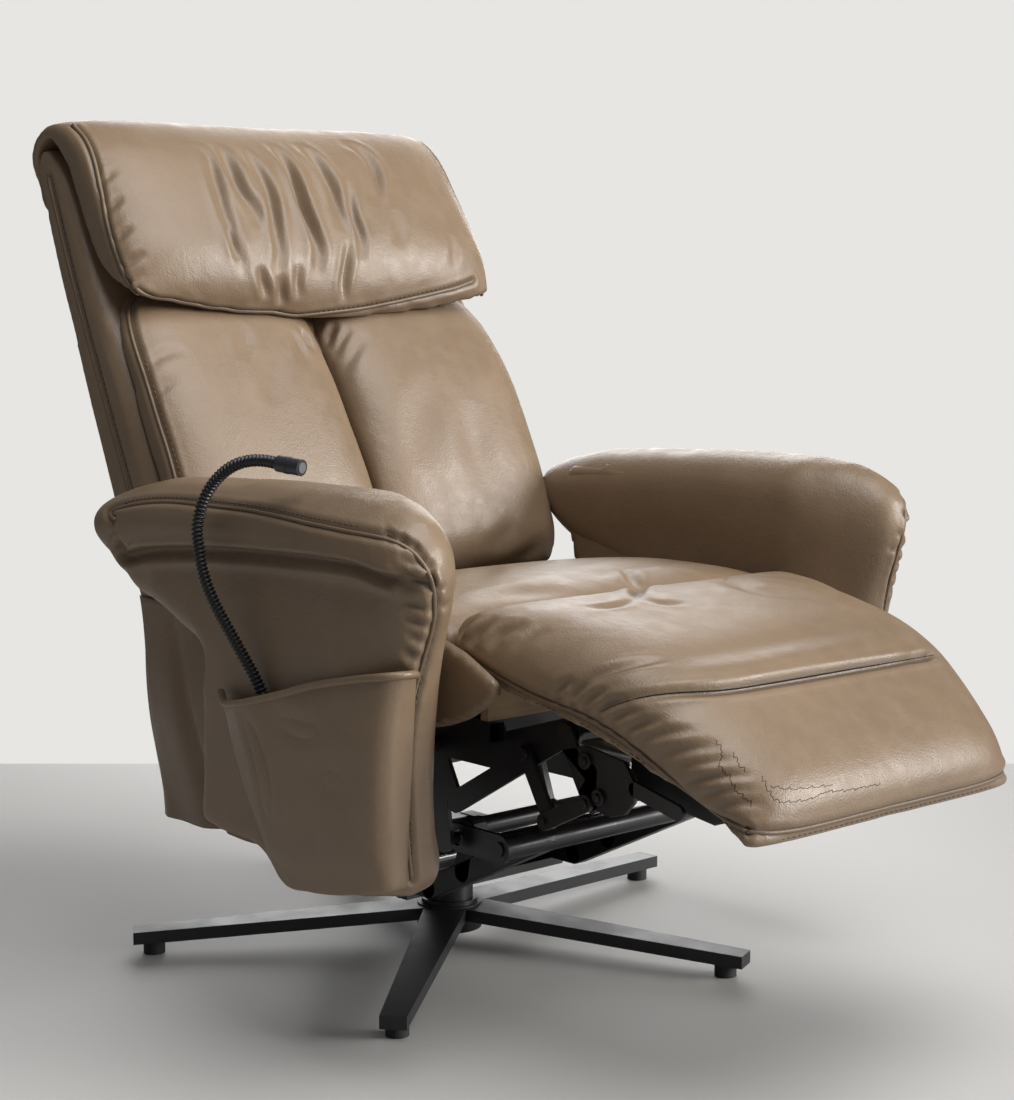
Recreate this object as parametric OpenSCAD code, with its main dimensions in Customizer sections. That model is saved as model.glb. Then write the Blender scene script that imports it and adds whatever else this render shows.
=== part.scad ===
// Power lift recliner on a five-star swivel base.
// The origin is on the floor under the middle of the chair; the chair faces -Y.

/* [Star base] */
// Place of the column beside the middle of the floor plan
column_x = 5; // [2:1:8]
// Place of the column behind the middle of the floor plan
column_y = 103; // [98:1:108]
// Radius that the leg tips reach
base_reach = 386; // [370:1:396]
// Turn of the first leg from the chair's left side
base_turn = 5; // [0:1:70]
// Width of a leg at the hub
leg_root_w = 54; // [46:1:60]
// Width of a leg at its tip
leg_tip_w = 30; // [24:1:34]
// Thickness of a leg
leg_t = 15; // [12:1:18]
// Height of the top of the legs at the hub
hub_top_z = 46; // [42:1:52]
// Radius of the hub
hub_r = 40; // [37:1:46]
// Diameter of a floor glide
glide_d = 26; // [20:1:30]
// Height of a floor glide
glide_h = 14; // [10:1:16]
// Distance from a leg tip in to its glide
glide_inset = 25; // [18:1:40]
// Outer radius of the column
column_r = 29; // [27:1:32]
// Top of the column
column_top_z = 84; // [80:1:92]
// Radius of the swivel spindle
spindle_r = 22; // [18:1:24]

/* [Swivel frame] */
// Thickness of the swivel plate
swivel_plate_t = 10; // [8:1:12]
// Half of the distance between the two rails
rail_x = 115; // [105:1:125]
// Width of a rail
rail_w = 20; // [16:1:24]
// Height of a rail
rail_h = 26; // [22:1:30]
// Distance from the column to the front end of the rails
rail_front = 318; // [312:1:330]
// Distance from the column to the rear end of the rails
rail_rear = 114; // [106:1:118]
// Radius of the cross tubes
cross_tube_r = 13; // [11:1:14]

/* [Lift linkage] */
// Distance from the column forward to the lift pivot
lift_pivot_front = 180; // [176:1:184]
// Height of the lift pivot
lift_pivot_z = 190; // [186:1:194]
// Length of a lift arm between its two pivots
lift_arm_length = 330; // [326:1:334]
// Width of a lift arm
lift_arm_w = 30; // [26:1:34]
// Half of the distance between the lift arms
lift_arm_x = 189; // [188:1:190]
// Radius of the lift shafts
lift_shaft_r = 11; // [10:1:12]
// Distance from the column forward to the front link's lower pivot
front_link_front = 300; // [298:1:302]
// Height of the front link's lower pivot
front_link_z = 200; // [198:1:202]
// Length of a front link between its pivots
front_link_length = 70; // [69:1:71]
// Height of the lift rod over the lift pivot
lift_rod_rise = 70; // [68:1:72]
// Angle that the lift crank leans back from upright at rest
lift_crank_lean = 20; // [18:1:22]

/* [Seat chassis] */
// Half of the distance between the two side plates
plate_x = 200; // [199:1:201]
// Thickness of the flat bars and plates
bar_t = 5; // [4:1:5]
// Height of the middle of the seat rails
seat_rail_z = 337.5; // [336:0.5:339]
// Square size of the seat rails
seat_rail_w = 25; // [22:1:26]
// Distance from the column forward to the front of the seat rails
seat_rail_front = 334; // [330:1:338]
// Distance from the column back to the rear of the seat rails
seat_rail_rear = 207; // [203:1:207.2]
// Width of a strap of the seat webbing
strap_w = 50; // [40:1:56]

/* [Footrest linkage] */
// Distance from the column forward to the footrest pivot
fold_front = 430; // [428:1:432]
// Height of the footrest pivot
fold_z = 350; // [348:1:352]
// Radius of the footrest shaft
fold_shaft_r = 10; // [9:1:11]
// Distance that the bracket's lower pin lies in front of the footrest pivot
crank_front = 38; // [36:1:40]
// Distance that the bracket's lower pin lies under the footrest pivot
crank_drop = 64; // [62:1:66]
// Distance from the footrest pivot back to the rocker's pivot
rocker_back = 60; // [59:1:62]
// Distance from the footrest pivot down to the rocker's pivot
rocker_drop = 30; // [28:1:31]
// Width of the linkage bars
link_w = 18; // [16:1:18]
// Radius of the linkage pins
link_pin_r = 5; // [4:0.5:5]
// Drop of the footrest rod under the footrest pivot
fold_rod_drop = 45; // [44:1:46]

/* [Backrest] */
// Distance from the column back to the recline pivot
recline_back = 150; // [148:1:152]
// Height of the recline pivot
recline_z = 385; // [383:1:387]
// Radius of the recline shaft
recline_shaft_r = 9; // [8:1:10]
// Drop of the recline rod under the recline pivot
recline_rod_drop = 85; // [83:1:87]
// Half of the width of the backrest
back_half_w = 300; // [296:1:301]
// Height of the foot of the backrest shell
back_low_z = 412; // [411:1:416]
// Height of the top of the backrest shell
back_top_z = 948; // [944:1:949]
// Distance from the column back to the rearmost point of the shell
back_reach = 458; // [455:1:460]

/* [Head pillow] */
// Half of the width of the head pillow
pillow_half_w = 283; // [270:1:290]
// Radius of the pillow's hinge bar
hinge_bar_r = 12; // [11:0.5:12]
// Height of the head pillow from its lower edge to its crown
pillow_h = 246; // [240:1:250]
// Depth of the head pillow from its front to its rear lip
pillow_depth = 240; // [236:1:244]

/* [Seat] */
// Half of the width of the seat cushion
seat_half_w = 264; // [258:1:264.5]
// Distance from the column forward to the seam of seat and leg pad
seat_front = 322; // [318:1:324]
// Distance from the column back to the rear of the seat cushion
seat_back = 85; // [80:1:86]
// Height of the underside of the seat cushion
seat_low_z = 351.7; // [351.6:0.1:352.4]
// Height of the seat cushion's edge over its underside
seat_h = 116; // [110:1:120]
// Crown of the seat cushion over its edge
seat_crown = 12; // [6:1:16]

/* [Leg pad] */
// Radius of the knee roll about the footrest pivot
knee_r = 106; // [104:1:107]
// Distance from the footrest pivot to the front edge of the pad
pad_reach = 262; // [255:1:268]
// Height of the pad's top over the footrest pivot
pad_rise = 104; // [102:1:105]
// Half of the width of the pad at the seat
pad_half_w = 262; // [256:1:263]
// Thickness of the board under the pad
board_t = 10; // [8:1:12]

/* [Arms] */
// Half of the overall width at the armrests
arm_half_w = 420; // [416:1:421]
// Outer face of the arm panels
panel_x = 398; // [396:1:399]
// Thickness of the arm panels
panel_t = 62; // [58:1:64]
// Height of the top of the armrests
arm_top_z = 612; // [606:1:616]
// Height of the crease under the armrest roll
crease_z = 505; // [503:1:507]
// Height of the lowest edge of the arm panels
panel_low_z = 178; // [174:1:184]
// Distance from the column forward to the front of the armrests
arm_front = 425; // [422:1:428]
// Distance from the column back to the rear tip of the armrests
arm_rear = 158; // [152:1:160]
// Width of an armrest roll
roll_w = 141; // [136:1:142]

/* [Side pocket and gooseneck control] */
// Depth of the side pocket
pocket_depth = 20; // [19:0.5:21]
// Thickness of the pocket's leather
pocket_wall = 3; // [2:0.5:3.5]
// Outer diameter of the ribbed gooseneck
hose_d = 13; // [12:0.5:13.5]
// Bore of the gooseneck
hose_bore = 6; // [5:0.5:7]
// Number of ribs on the gooseneck
hose_ribs = 80; // [60:1:90]
// Diameter of the control head on the gooseneck
control_d = 17; // [15:0.5:18]
// Length of the control head
control_length = 30; // [26:1:34]
// Diameter of the control's button
button_d = 11; // [9:0.5:12]
// Travel of the control's button
button_travel = 1.5; // [1:0.1:2]

/* [Actuators] */
// Radius of the chassis actuators' outer tubes
actuator_r = 19; // [17:0.5:19.5]
// Radius of the actuator rods
rod_r = 9; // [8:0.5:9.5]
// Radius of the motors
motor_r = 21; // [18:1:22]
// Length of a motor
motor_length = 78; // [70:1:84]
// Distance from the middle of the chair to each chassis actuator
actuator_x = 80; // [78:1:84]

/* [Clearances] */
// Running clearance of shafts and pins in their bores
running_gap = 0.08; // [0.05:0.01:0.1]
// Gap between neighbouring soft pieces and their carriers
soft_gap = 0.4; // [0.3:0.1:0.6]

/* [Hidden] */

steel = "#1d1e20";
leather = "#8d7a67";
rubber = "#161616";
legs = 5;
round_fn = 48;
overrun = 1;
glide_r = glide_d / 2;

// Pivots of the chair in the side view, as [y, z] from the column's foot
lift_pivot = [-lift_pivot_front, lift_pivot_z];
lift_rear = lift_pivot + [lift_arm_length, 0];
front_link_low = [-front_link_front, front_link_z];
front_link_high = front_link_low + [front_link_length, 0];
fold_pivot = [-fold_front, fold_z];
crank_pin = fold_pivot + [-crank_front, -crank_drop];
rocker_pivot = fold_pivot + [rocker_back, -rocker_drop];
rocker_end = rocker_pivot + [-crank_front, -crank_drop];
recline_pivot = [recline_back, recline_z];

// Puts a part that is drawn from the column's foot into its place
module chair() {
    translate([column_x, column_y, 0]) children();
}

// Copies a part that is drawn on the chair's left to the right as well
module both_sides() {
    children();
    mirror([1, 0, 0]) children();
}

// Draws a part of the chair's left on the side that is asked for
module on_side(s) {
    if (s > 0) children();
    if (s < 0) mirror([1, 0, 0]) children();
}

// Extrudes a side view, drawn in Y and Z, to a plate of thickness t about x
module side_plate(x, t) {
    translate([x - t / 2, 0, 0])
        rotate([90, 0, 90])
            linear_extrude(height = t) children();
}

// Round bar along X between x0 and x1 at p = [y, z]
module cross_bar(p, r, x0, x1) {
    translate([x0, p[0], p[1]])
        rotate([0, 90, 0])
            cylinder(h = x1 - x0, r = r, $fn = round_fn);
}

// Outline of a flat bar with round ends between p and q
module bar_outline(p, q, w) {
    d = q - p;
    n = [-d[1], d[0]] / norm(d) * w / 2;
    translate(p) circle(d = w, $fn = round_fn);
    translate(q) circle(d = w, $fn = round_fn);
    polygon([p + n, q + n, q - n, p - n]);
}

// Rectangular block between two corners
module block(a, b) {
    translate(a) cube(b - a);
}

function sum_list(v, i = 0) = i < len(v) - 1 ? v[i] + sum_list(v, i + 1) : v[i];
function flat(v) = [for (row = v) for (p = row) p];
function mix(a, b, t) = a + (b - a) * t;

// Six times the volume that a list of triangles encloses
function signed_volume(p, f) =
    sum_list([for (t = f) cross(p[t[0]], p[t[1]]) * p[t[2]]]);

// Closed solid from points and triangles, with its faces turned outward
module closed(p, f) {
    out = signed_volume(p, f) > 0 ? [for (t = f) [t[2], t[1], t[0]]] : f;
    polyhedron(points = p, faces = out, convexity = 6);
}

// The two triangles of the quad a, b, c, d
function quad(a, b, c, d) = [[a, b, c], [a, c, d]];

// Padded form between two grids of points of the same size
module padded(top, low) {
    m = len(top);
    n = len(top[0]);
    h = m * n;
    function at(k, i) = k * n + i;
    faces = concat(
        [for (k = [0 : m - 2], i = [0 : n - 2])
            each quad(at(k, i), at(k, i + 1), at(k + 1, i + 1), at(k + 1, i))],
        [for (k = [0 : m - 2], i = [0 : n - 2])
            each quad(h + at(k + 1, i), h + at(k + 1, i + 1), h + at(k, i + 1), h + at(k, i))],
        [for (k = [0 : m - 2])
            each quad(at(k, 0), at(k + 1, 0), h + at(k + 1, 0), h + at(k, 0))],
        [for (k = [0 : m - 2])
            each quad(at(k + 1, n - 1), at(k, n - 1), h + at(k, n - 1), h + at(k + 1, n - 1))],
        [for (i = [0 : n - 2])
            each quad(at(0, i + 1), at(0, i), h + at(0, i), h + at(0, i + 1))],
        [for (i = [0 : n - 2])
            each quad(at(m - 1, i), at(m - 1, i + 1), h + at(m - 1, i + 1), h + at(m - 1, i))]);
    closed(concat(flat(top), flat(low)), faces);
}

// Solid through a row of closed rings, capped at both ends
module loft(rings) {
    m = len(rings);
    n = len(rings[0]);
    function at(k, i) = k * n + i % n;
    first = sum_list(rings[0]) / n;
    last = sum_list(rings[m - 1]) / n;
    faces = concat(
        [for (k = [0 : m - 2], i = [0 : n - 1])
            each quad(at(k, i), at(k, i + 1), at(k + 1, i + 1), at(k + 1, i))],
        [for (i = [0 : n - 1]) [m * n, at(0, i + 1), at(0, i)]],
        [for (i = [0 : n - 1]) [m * n + 1, at(m - 1, i), at(m - 1, i + 1)]]);
    closed(concat(flat(rings), [first, last]), faces);
}

// Places across a padded form from -1 to 1, closer together at the edges
across_shares = [-1, -0.97, -0.88, -0.7, -0.45, -0.16, 0.16, 0.45, 0.7, 0.88, 0.97, 1];

// Fullness of a crowned form at u, from its edge share at the sides to 1
function fullness(u, edge_share) = edge_share + (1 - edge_share) * pow(1 - pow(abs(u), 4), 0.5);

// Star base

leg_rise = hub_top_z - glide_h - leg_t;

module leg() {
    intersection() {
        rotate([90, 0, 0])
            translate([0, 0, -leg_root_w])
                linear_extrude(height = 2 * leg_root_w)
                    polygon([[0, glide_h + leg_rise], [base_reach, glide_h],
                             [base_reach, glide_h + leg_t], [0, hub_top_z]]);
        linear_extrude(height = 2 * hub_top_z)
            polygon([[0, -leg_root_w / 2], [base_reach, -leg_tip_w / 2],
                     [base_reach, leg_tip_w / 2], [0, leg_root_w / 2]]);
    }
}

module at_legs() {
    for (i = [0 : legs - 1]) rotate([0, 0, base_turn + 360 / legs * i]) children();
}

hub_low_z = glide_h;

module star_base() {
    color(steel) chair() difference() {
        union() {
            at_legs() leg();
            translate([0, 0, hub_low_z])
                cylinder(h = hub_top_z - hub_low_z, r = hub_r, $fn = round_fn);
        }
        translate([0, 0, -overrun])
            cylinder(h = hub_top_z + 2 * overrun, r = column_r, $fn = round_fn);
    }
}

// The column stands in the hub with a collar on it, and carries the spindle in its bore
collar_r = column_r + (hub_r - column_r) / 2;
collar_t = swivel_plate_t / 2;
spindle_low_z = hub_low_z + collar_t;

module column() {
    color(steel) chair() difference() {
        union() {
            translate([0, 0, hub_low_z])
                cylinder(h = column_top_z - hub_low_z, r = column_r, $fn = round_fn);
            translate([0, 0, hub_top_z])
                cylinder(h = collar_t, r = collar_r, $fn = round_fn);
        }
        translate([0, 0, spindle_low_z])
            cylinder(h = column_top_z, r = spindle_r + running_gap, $fn = round_fn);
    }
}

module floor_glides() {
    color(rubber) chair() at_legs()
        translate([base_reach - glide_inset, 0, 0])
            cylinder(h = glide_h, r = glide_r, $fn = round_fn);
}

// Swivel frame

plate_low_z = column_top_z + running_gap;
rail_low_z = plate_low_z + swivel_plate_t;
rail_top_z = rail_low_z + rail_h;
swivel_plate_length_share = 0.62;

module swivel_plate() {
    length = 2 * rail_x * swivel_plate_length_share;
    color(steel) chair() union() {
        block([-rail_x - rail_w / 2, -length / 2, plate_low_z],
              [rail_x + rail_w / 2, length / 2, rail_low_z]);
        translate([0, 0, spindle_low_z + running_gap])
            cylinder(h = rail_low_z - spindle_low_z - running_gap, r = spindle_r, $fn = round_fn);
    }
}

lug_w = 2.6 * lift_shaft_r;
rail_cross_w = 1.5 * rail_w;
rail_cross_y = rail_rear - rail_cross_w;

// Two rails with a cross member at the back, and lugs that carry the lift pivots
module swivel_rails() {
    color(steel) chair() difference() {
        union() {
            both_sides() {
                block([rail_x - rail_w / 2, -rail_front, rail_low_z],
                      [rail_x + rail_w / 2, rail_rear, rail_top_z]);
                side_plate(rail_x, bar_t)
                    bar_outline([lift_pivot[0], rail_top_z - rail_h / 2], lift_pivot, lug_w);
                side_plate(rail_x, bar_t)
                    bar_outline([front_link_low[0], rail_top_z - rail_h / 2], front_link_low, lug_w);
            }
            block([-rail_x, rail_cross_y, rail_low_z], [rail_x, rail_rear, rail_top_z]);
        }
        cross_bar(lift_pivot, lift_shaft_r + running_gap, -2 * rail_x, 2 * rail_x);
        cross_bar(front_link_low, cross_tube_r - bar_t, -2 * rail_x, 2 * rail_x);
    }
}

// Round tube that lies across both rails
frame_tube_front_share = 0.28;

module frame_tube() {
    color(steel) chair()
        cross_bar([-frame_tube_front_share * rail_front, rail_top_z + cross_tube_r], cross_tube_r, -plate_x, plate_x);
}

link_x = 180 / 200 * plate_x;

// Tube through the front lugs, whose thin ends carry the front links
module front_cross_tube() {
    end_r = cross_tube_r - bar_t;
    inner = rail_x - bar_t / 2 - soft_gap;
    color(steel) chair() union() {
        cross_bar(front_link_low, cross_tube_r, -inner, inner);
        cross_bar(front_link_low, end_r, -link_x - bar_t, link_x + bar_t);
        both_sides()
            cross_bar(front_link_low, cross_tube_r, rail_x + bar_t / 2 + soft_gap, link_x - bar_t / 2 - soft_gap);
    }
}

// Lift linkage

lift_bar_t = 1.6 * bar_t;

// The two lift arms, their rear cross shaft and the shaft that they turn on
module lift_arms() {
    color(steel) chair() union() {
        both_sides()
            side_plate(lift_arm_x, lift_bar_t) {
                bar_outline(lift_pivot, lift_rear, lift_arm_w);
            }
        cross_bar(lift_pivot, lift_shaft_r, -lift_arm_x, lift_arm_x);
        cross_bar(lift_rear, recline_shaft_r, -plate_x - bar_t, plate_x + bar_t);
    }
}

// A slotted crank: a sleeve and a lever whose slot the rod's pin slides in.
// The lever stands at angle a from straight down about p, and h is the rod's distance.
slot_gap = 1;
crank_t = 1.6 * bar_t;

module slotted_crank(p, x, r, h, a, reach_share, gap) {
    slot_w = 2 * (pin_r + gap);
    lever_w = slot_w + 2 * bar_t;
    side_plate(x, crank_t)
        difference() {
            union() {
                translate(p) circle(r = 1.6 * r, $fn = round_fn);
                translate(p) rotate([0, 0, a - 90]) {
                    translate([0, -lever_w / 2]) square([h * reach_share, lever_w]);
                    translate([h * reach_share, 0]) circle(d = lever_w, $fn = round_fn);
                }
            }
            translate(p) circle(r = r, $fn = round_fn);
            translate(p) rotate([0, 0, a - 90])
                bar_outline([h - gap, 0], [h * (reach_share - 0.04), 0], slot_w);
        }
}

pin_r = 0.6 * rod_r;

module lift_crank() {
    color(steel) chair()
        slotted_crank(lift_pivot, 0, lift_shaft_r, lift_rod_rise, 180 - lift_crank_lean, 1.1, slot_gap);
}

// Rod of an actuator at height p[1] whose pin lies at p, pushed along +Y or -Y
fork_gap = 1;
fork_t = bar_t;
fork_share = 3.2;

module actuator_rod(p, x, direction, length) {
    cheek_x = crank_t / 2 + fork_gap + fork_t / 2;
    back = p[0] - direction * fork_share * rod_r;
    union() {
        cross_bar(p, pin_r, x - cheek_x - fork_t / 2, x + cheek_x + fork_t / 2);
        for (s = [-1, 1])
            side_plate(x + s * cheek_x, fork_t)
                bar_outline(p, [back, p[1]], 2 * rod_r);
        block([x - cheek_x, min(back, back - direction * rod_r), p[1] - rod_r],
              [x + cheek_x, max(back, back - direction * rod_r), p[1] + rod_r]);
        translate([x, back, p[1]])
            rotate([direction * 90, 0, 0])
                cylinder(h = length, r = rod_r, $fn = round_fn);
    }
}

// Outer tube of an actuator from mouth y along -direction, with its motor under the far end
module actuator_housing(mouth, z, x, r, direction, length, motor_side) {
    difference() {
        union() {
            translate([x, mouth, z]) rotate([direction * 90, 0, 0])
                cylinder(h = length, r = r, $fn = round_fn);
            translate([x, mouth - direction * (length - motor_r), z])
                rotate([0, motor_side * 90, 0])
                    cylinder(h = motor_length, r = motor_r, $fn = round_fn);
            translate([x, mouth - direction * (length - 1.15 * motor_r), z])
                cube([2.3 * motor_r, 2.3 * motor_r, 1.6 * r], center = true);
        }
        translate([x, mouth + direction * overrun, z]) rotate([direction * 90, 0, 0])
            cylinder(h = length - 2.5 * motor_r, r = rod_r + running_gap, $fn = round_fn);
    }
}

// Place of a slotted crank's pin at height h from its pivot, for a lever at angle a
function pin_offset(h, a) = h * tan(a);

lift_pin = [lift_pivot[0] + pin_offset(lift_rod_rise, lift_crank_lean), lift_pivot_z + lift_rod_rise];
lift_mouth = lift_pin[0] + 7.2 * rod_r;
lift_tube_length = rail_rear - lift_mouth;

module lift_rod() {
    color("silver") chair() actuator_rod(lift_pin, 0, -1, 14 * rod_r);
}

// The lift motor stands on a saddle over the rails' rear cross member
module lift_actuator() {
    saddle = 0.9 * actuator_r;
    color(steel) chair() union() {
        actuator_housing(lift_mouth, lift_pin[1], 0, actuator_r, -1, lift_tube_length, -1);
        block([-saddle, rail_cross_y, rail_top_z],
              [saddle, rail_rear - bar_t, lift_pin[1] - 0.7 * actuator_r]);
    }
}

open_pin_r = 1.2 * link_pin_r;
open_bore_r = open_pin_r + 0.7 * link_pin_r;

module front_links() {
    color(steel) chair() both_sides()
        side_plate(link_x, bar_t) difference() {
            bar_outline(front_link_low, front_link_high, 2.4 * cross_tube_r);
            translate(front_link_low)
                circle(r = cross_tube_r - bar_t + running_gap, $fn = round_fn);
            translate(front_link_high) circle(r = open_bore_r, $fn = round_fn);
        }
}

// Seat chassis

plate_band_w = 44;
plate_band_z = seat_rail_z - plate_band_w / 2;
plate_knee = [-250 / 322 * seat_front, 246 / 350 * fold_z];
plate_rise_y = -215 / 322 * seat_front;
plate_front = -0.95 * seat_rail_front;

// A pressed side plate: a truss of broad bars that ends in the chair's fixed pivots
module side_plate_part() {
    side_plate(plate_x, bar_t) difference() {
        union() {
            bar_outline([plate_front, plate_band_z], [recline_pivot[0], plate_band_z], plate_band_w);
            bar_outline(recline_pivot, lift_rear, 1.6 * link_w);
            bar_outline(front_link_high, [plate_rise_y, plate_band_z], 1.5 * link_w);
            bar_outline([plate_front, plate_band_z], fold_pivot, 1.7 * link_w);
            bar_outline(plate_knee, fold_pivot, 1.3 * link_w);
            bar_outline(plate_knee, [plate_rise_y + bar_t, plate_band_z + bar_t], 1.25 * link_w);
            translate(rocker_pivot) circle(r = 0.8 * link_w, $fn = round_fn);
        }
        translate(fold_pivot) circle(r = fold_shaft_r + running_gap, $fn = round_fn);
        translate(recline_pivot) circle(r = recline_shaft_r + running_gap, $fn = round_fn);
        translate(lift_rear) circle(r = recline_shaft_r + running_gap, $fn = round_fn);
    }
    cross_bar(rocker_pivot, link_pin_r, plate_x, plate_x + 2.3 * bar_t);
    cross_bar(front_link_high, open_pin_r, link_x - bar_t, plate_x);
}

module side_plate_right() {
    color(steel) chair() on_side(-1) union() side_plate_part();
}

module side_plate_left() {
    color(steel) chair() on_side(1) union() side_plate_part();
}

cross_places_shares = [-0.96, -0.6, -0.06, 0.15];

// Two side rails and four cross tubes
module seat_frame() {
    low = seat_rail_z - seat_rail_w / 2;
    inner = plate_x + bar_t / 2;
    wall = 3 / 5 * bar_t;
    color(steel) chair() union() {
        both_sides() difference() {
            block([inner, -seat_rail_front, low], [inner + seat_rail_w, seat_rail_rear, low + seat_rail_w]);
            block([inner + wall, -seat_rail_front - overrun, low + wall],
                  [inner + seat_rail_w - wall, seat_rail_rear + overrun, low + seat_rail_w - wall]);
        }
        for (share = cross_places_shares)
            translate([-plate_x + bar_t / 2, share * seat_rail_front, low])
                difference() {
                    cube([2 * plate_x - bar_t, seat_rail_w, seat_rail_w]);
                    translate([-overrun, wall, wall])
                        cube([2 * plate_x + overrun, seat_rail_w - 2 * wall, seat_rail_w - 2 * wall]);
                }
    }
}

strap_t = 1.4;
straps_across = 5;
straps_along = 4;

// Elastic straps over the seat frame, woven to one mat
module seat_webbing() {
    low = seat_rail_z + seat_rail_w / 2;
    outer = plate_x + bar_t / 2 + seat_rail_w;
    length = seat_front + seat_back - strap_w / 4;
    color("#3a3a3a") chair() union() {
        for (i = [0 : straps_along - 1])
            translate([(i + 0.5) / straps_along * 2 * outer - outer - strap_w / 2, -seat_front, low])
                cube([strap_w, length, strap_t]);
        for (i = [0 : straps_across - 1])
            translate([-outer, (i + 0.5) / straps_across * length - seat_front - strap_w / 2, low])
                cube([2 * outer, strap_w, strap_t]);
    }
}

// Rows of the seat cushion from front to back: place, top and underside
seat_rows_shares = [[0, 0.74, 0.4], [0.02, 0.9, 0.2], [0.06, 0.98, 0.06], [0.14, 1, 0], [0.3, 1, 0],
                    [0.5, 0.96, 0], [0.7, 0.87, 0], [0.88, 0.76, 0], [0.97, 0.68, 0], [1, 0.58, 0.1]];

module seat_cushion() {
    length = seat_front + seat_back;
    function drawn(u, row) = seat_half_w * u * (1 - 0.02 * (1 - pow(2 * row[0] - 1, 4)));
    color(leather) chair() padded(
        [for (u = across_shares) [for (row = seat_rows_shares)
            [drawn(u, row), row[0] * length - seat_front,
             seat_low_z + seat_h * row[1] * fullness(u, 0.9) + seat_crown * fullness(u, 0) * row[1]]]],
        [for (u = across_shares) [for (row = seat_rows_shares)
            [drawn(u, row), row[0] * length - seat_front,
             seat_low_z + seat_h * row[2]]]]);
}

apron_t = 6;
apron_outline_shares = [[-1, 0.3], [-0.9, 0.06], [-0.66, 0], [0, 0], [0.16, 0.1], [0.16, 0.8], [-0.66, 0.9],
                        [-0.82, 0.66], [-0.94, 0.52]];

// Leather sides of the seat box, between the cushion and the armrests
module seat_aprons() {
    low = seat_rail_z - 0.1 * seat_rail_w;
    x = seat_half_w + soft_gap + apron_t / 2;
    color(leather) chair() both_sides()
        side_plate(x, apron_t)
            polygon([for (p = apron_outline_shares)
                [p[0] * (fold_front - apron_t), low + p[1] * (seat_low_z + seat_h - low)]]);
}

skirt_t = 8;
skirt_half_w = back_half_w + 0.5 * soft_gap;
skirt_top_z = 344;
skirt_low_z = 158;
skirt_rear_share = 0.47;

// Leather skirt round the back of the seat box, open at the front
module rear_skirt() {
    rear = skirt_rear_share * back_reach;
    color(leather) chair() union() {
        both_sides()
            side_plate(skirt_half_w - skirt_t / 2, skirt_t)
                polygon([[-0.16 * rear, skirt_low_z], [0.7 * rear, skirt_low_z], [rear, skirt_low_z + 4 * skirt_t],
                         [rear, skirt_top_z], [0.36 * rear, skirt_top_z], [0.3 * rear, 0.76 * skirt_top_z]]);
        block([-skirt_half_w, rear - skirt_t, skirt_low_z + 4 * skirt_t], [skirt_half_w, rear, skirt_top_z]);
    }
}

// Knee roll: its front face is a round about the footrest pivot

knee_top_shares = [[1.015, 0.84], [0.93, 0.97], [0.7, 1], [0.38, 1.005]];
knee_low_shares = [[1.015, 0.665], [0.93, 0.66], [0.7, 0.62], [0.38, 0.52]];
knee_arc = [for (a = [90 : -9 : 9]) a];
knee_nose_low_share = 0.12;

function knee_outer(r) = concat(
    [for (p = knee_top_shares) p * r],
    [for (a = knee_arc) [-cos(a), sin(a)] * r]);
function knee_inner(r) = concat(
    [for (p = knee_low_shares) p * knee_r],
    [for (i = [0 : len(knee_arc) - 1])
        let (t = i / (len(knee_arc) - 1))
            [mix(0.1, -0.97, t), mix(0.42, knee_nose_low_share, t)] * r]);

pad_edge_share = 0.88;

module knee_pad() {
    color(leather) chair() padded(
        [for (u = across_shares) let (r = knee_r * fullness(u, pad_edge_share))
            [for (p = knee_outer(r)) [-u * pad_half_w, fold_pivot[0] + p[0], fold_z + p[1]]]],
        [for (u = across_shares) let (r = knee_r * fullness(u, pad_edge_share))
            [for (p = knee_inner(r)) [-u * pad_half_w, fold_pivot[0] + p[0], fold_z + p[1]]]]);
}

// Wooden board across the front of the seat frame, under the knee roll
module front_board() {
    outer = plate_x + bar_t / 2 + seat_rail_w;
    color("tan") chair()
        block([-outer, -seat_rail_front, seat_rail_z + seat_rail_w / 2],
              [outer, -seat_front - soft_gap, fold_z + 0.655 * knee_r - soft_gap]);
}

// Armrests

// Rows of an arm panel from its foot up: height, front edge and rear edge
panel_rows_shares = [[0, 0.77, -0.46], [0.02, 0.83, -0.33], [0.1, 0.88, -0.14], [0.25, 0.875, -0.12],
                     [0.42, 0.875, -0.127], [0.62, 0.896, -0.132], [0.7, 0.91, -0.12], [0.77, 0.93, 0],
                     [0.86, 0.953, 0.21], [0.95, 0.983, 0.32], [1, 0.99, 0.358]];
panel_places_shares = [0, 0.02, 0.08, 0.2, 0.4, 0.6, 0.8, 0.92, 0.98, 1];

module arm_panel() {
    h = crease_z - panel_low_z;
    inner = panel_x - panel_t;
    function place(row, v) = mix(-row[1], row[2], v) * arm_front;
    function edge(row, v) = pow(1 - pow(abs(2 * v - 1), 12), 0.5) * (row[0] < 0.01 ? 0.5 : 1);
    padded(
        [for (v = panel_places_shares) [for (row = panel_rows_shares)
            [mix(panel_x - 0.3 * panel_t, panel_x, edge(row, v)), place(row, v), panel_low_z + h * row[0]]]],
        [for (v = panel_places_shares) [for (row = panel_rows_shares)
            [inner, place(row, v), panel_low_z + h * row[0]]]]);
}

module arm_panel_right() {
    color(leather) chair() on_side(-1) arm_panel();
}

module arm_panel_left() {
    color(leather) chair() on_side(1) arm_panel();
}

inner_pad_low_share = 0.79;
inner_face_x = arm_half_w - roll_w;

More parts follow.
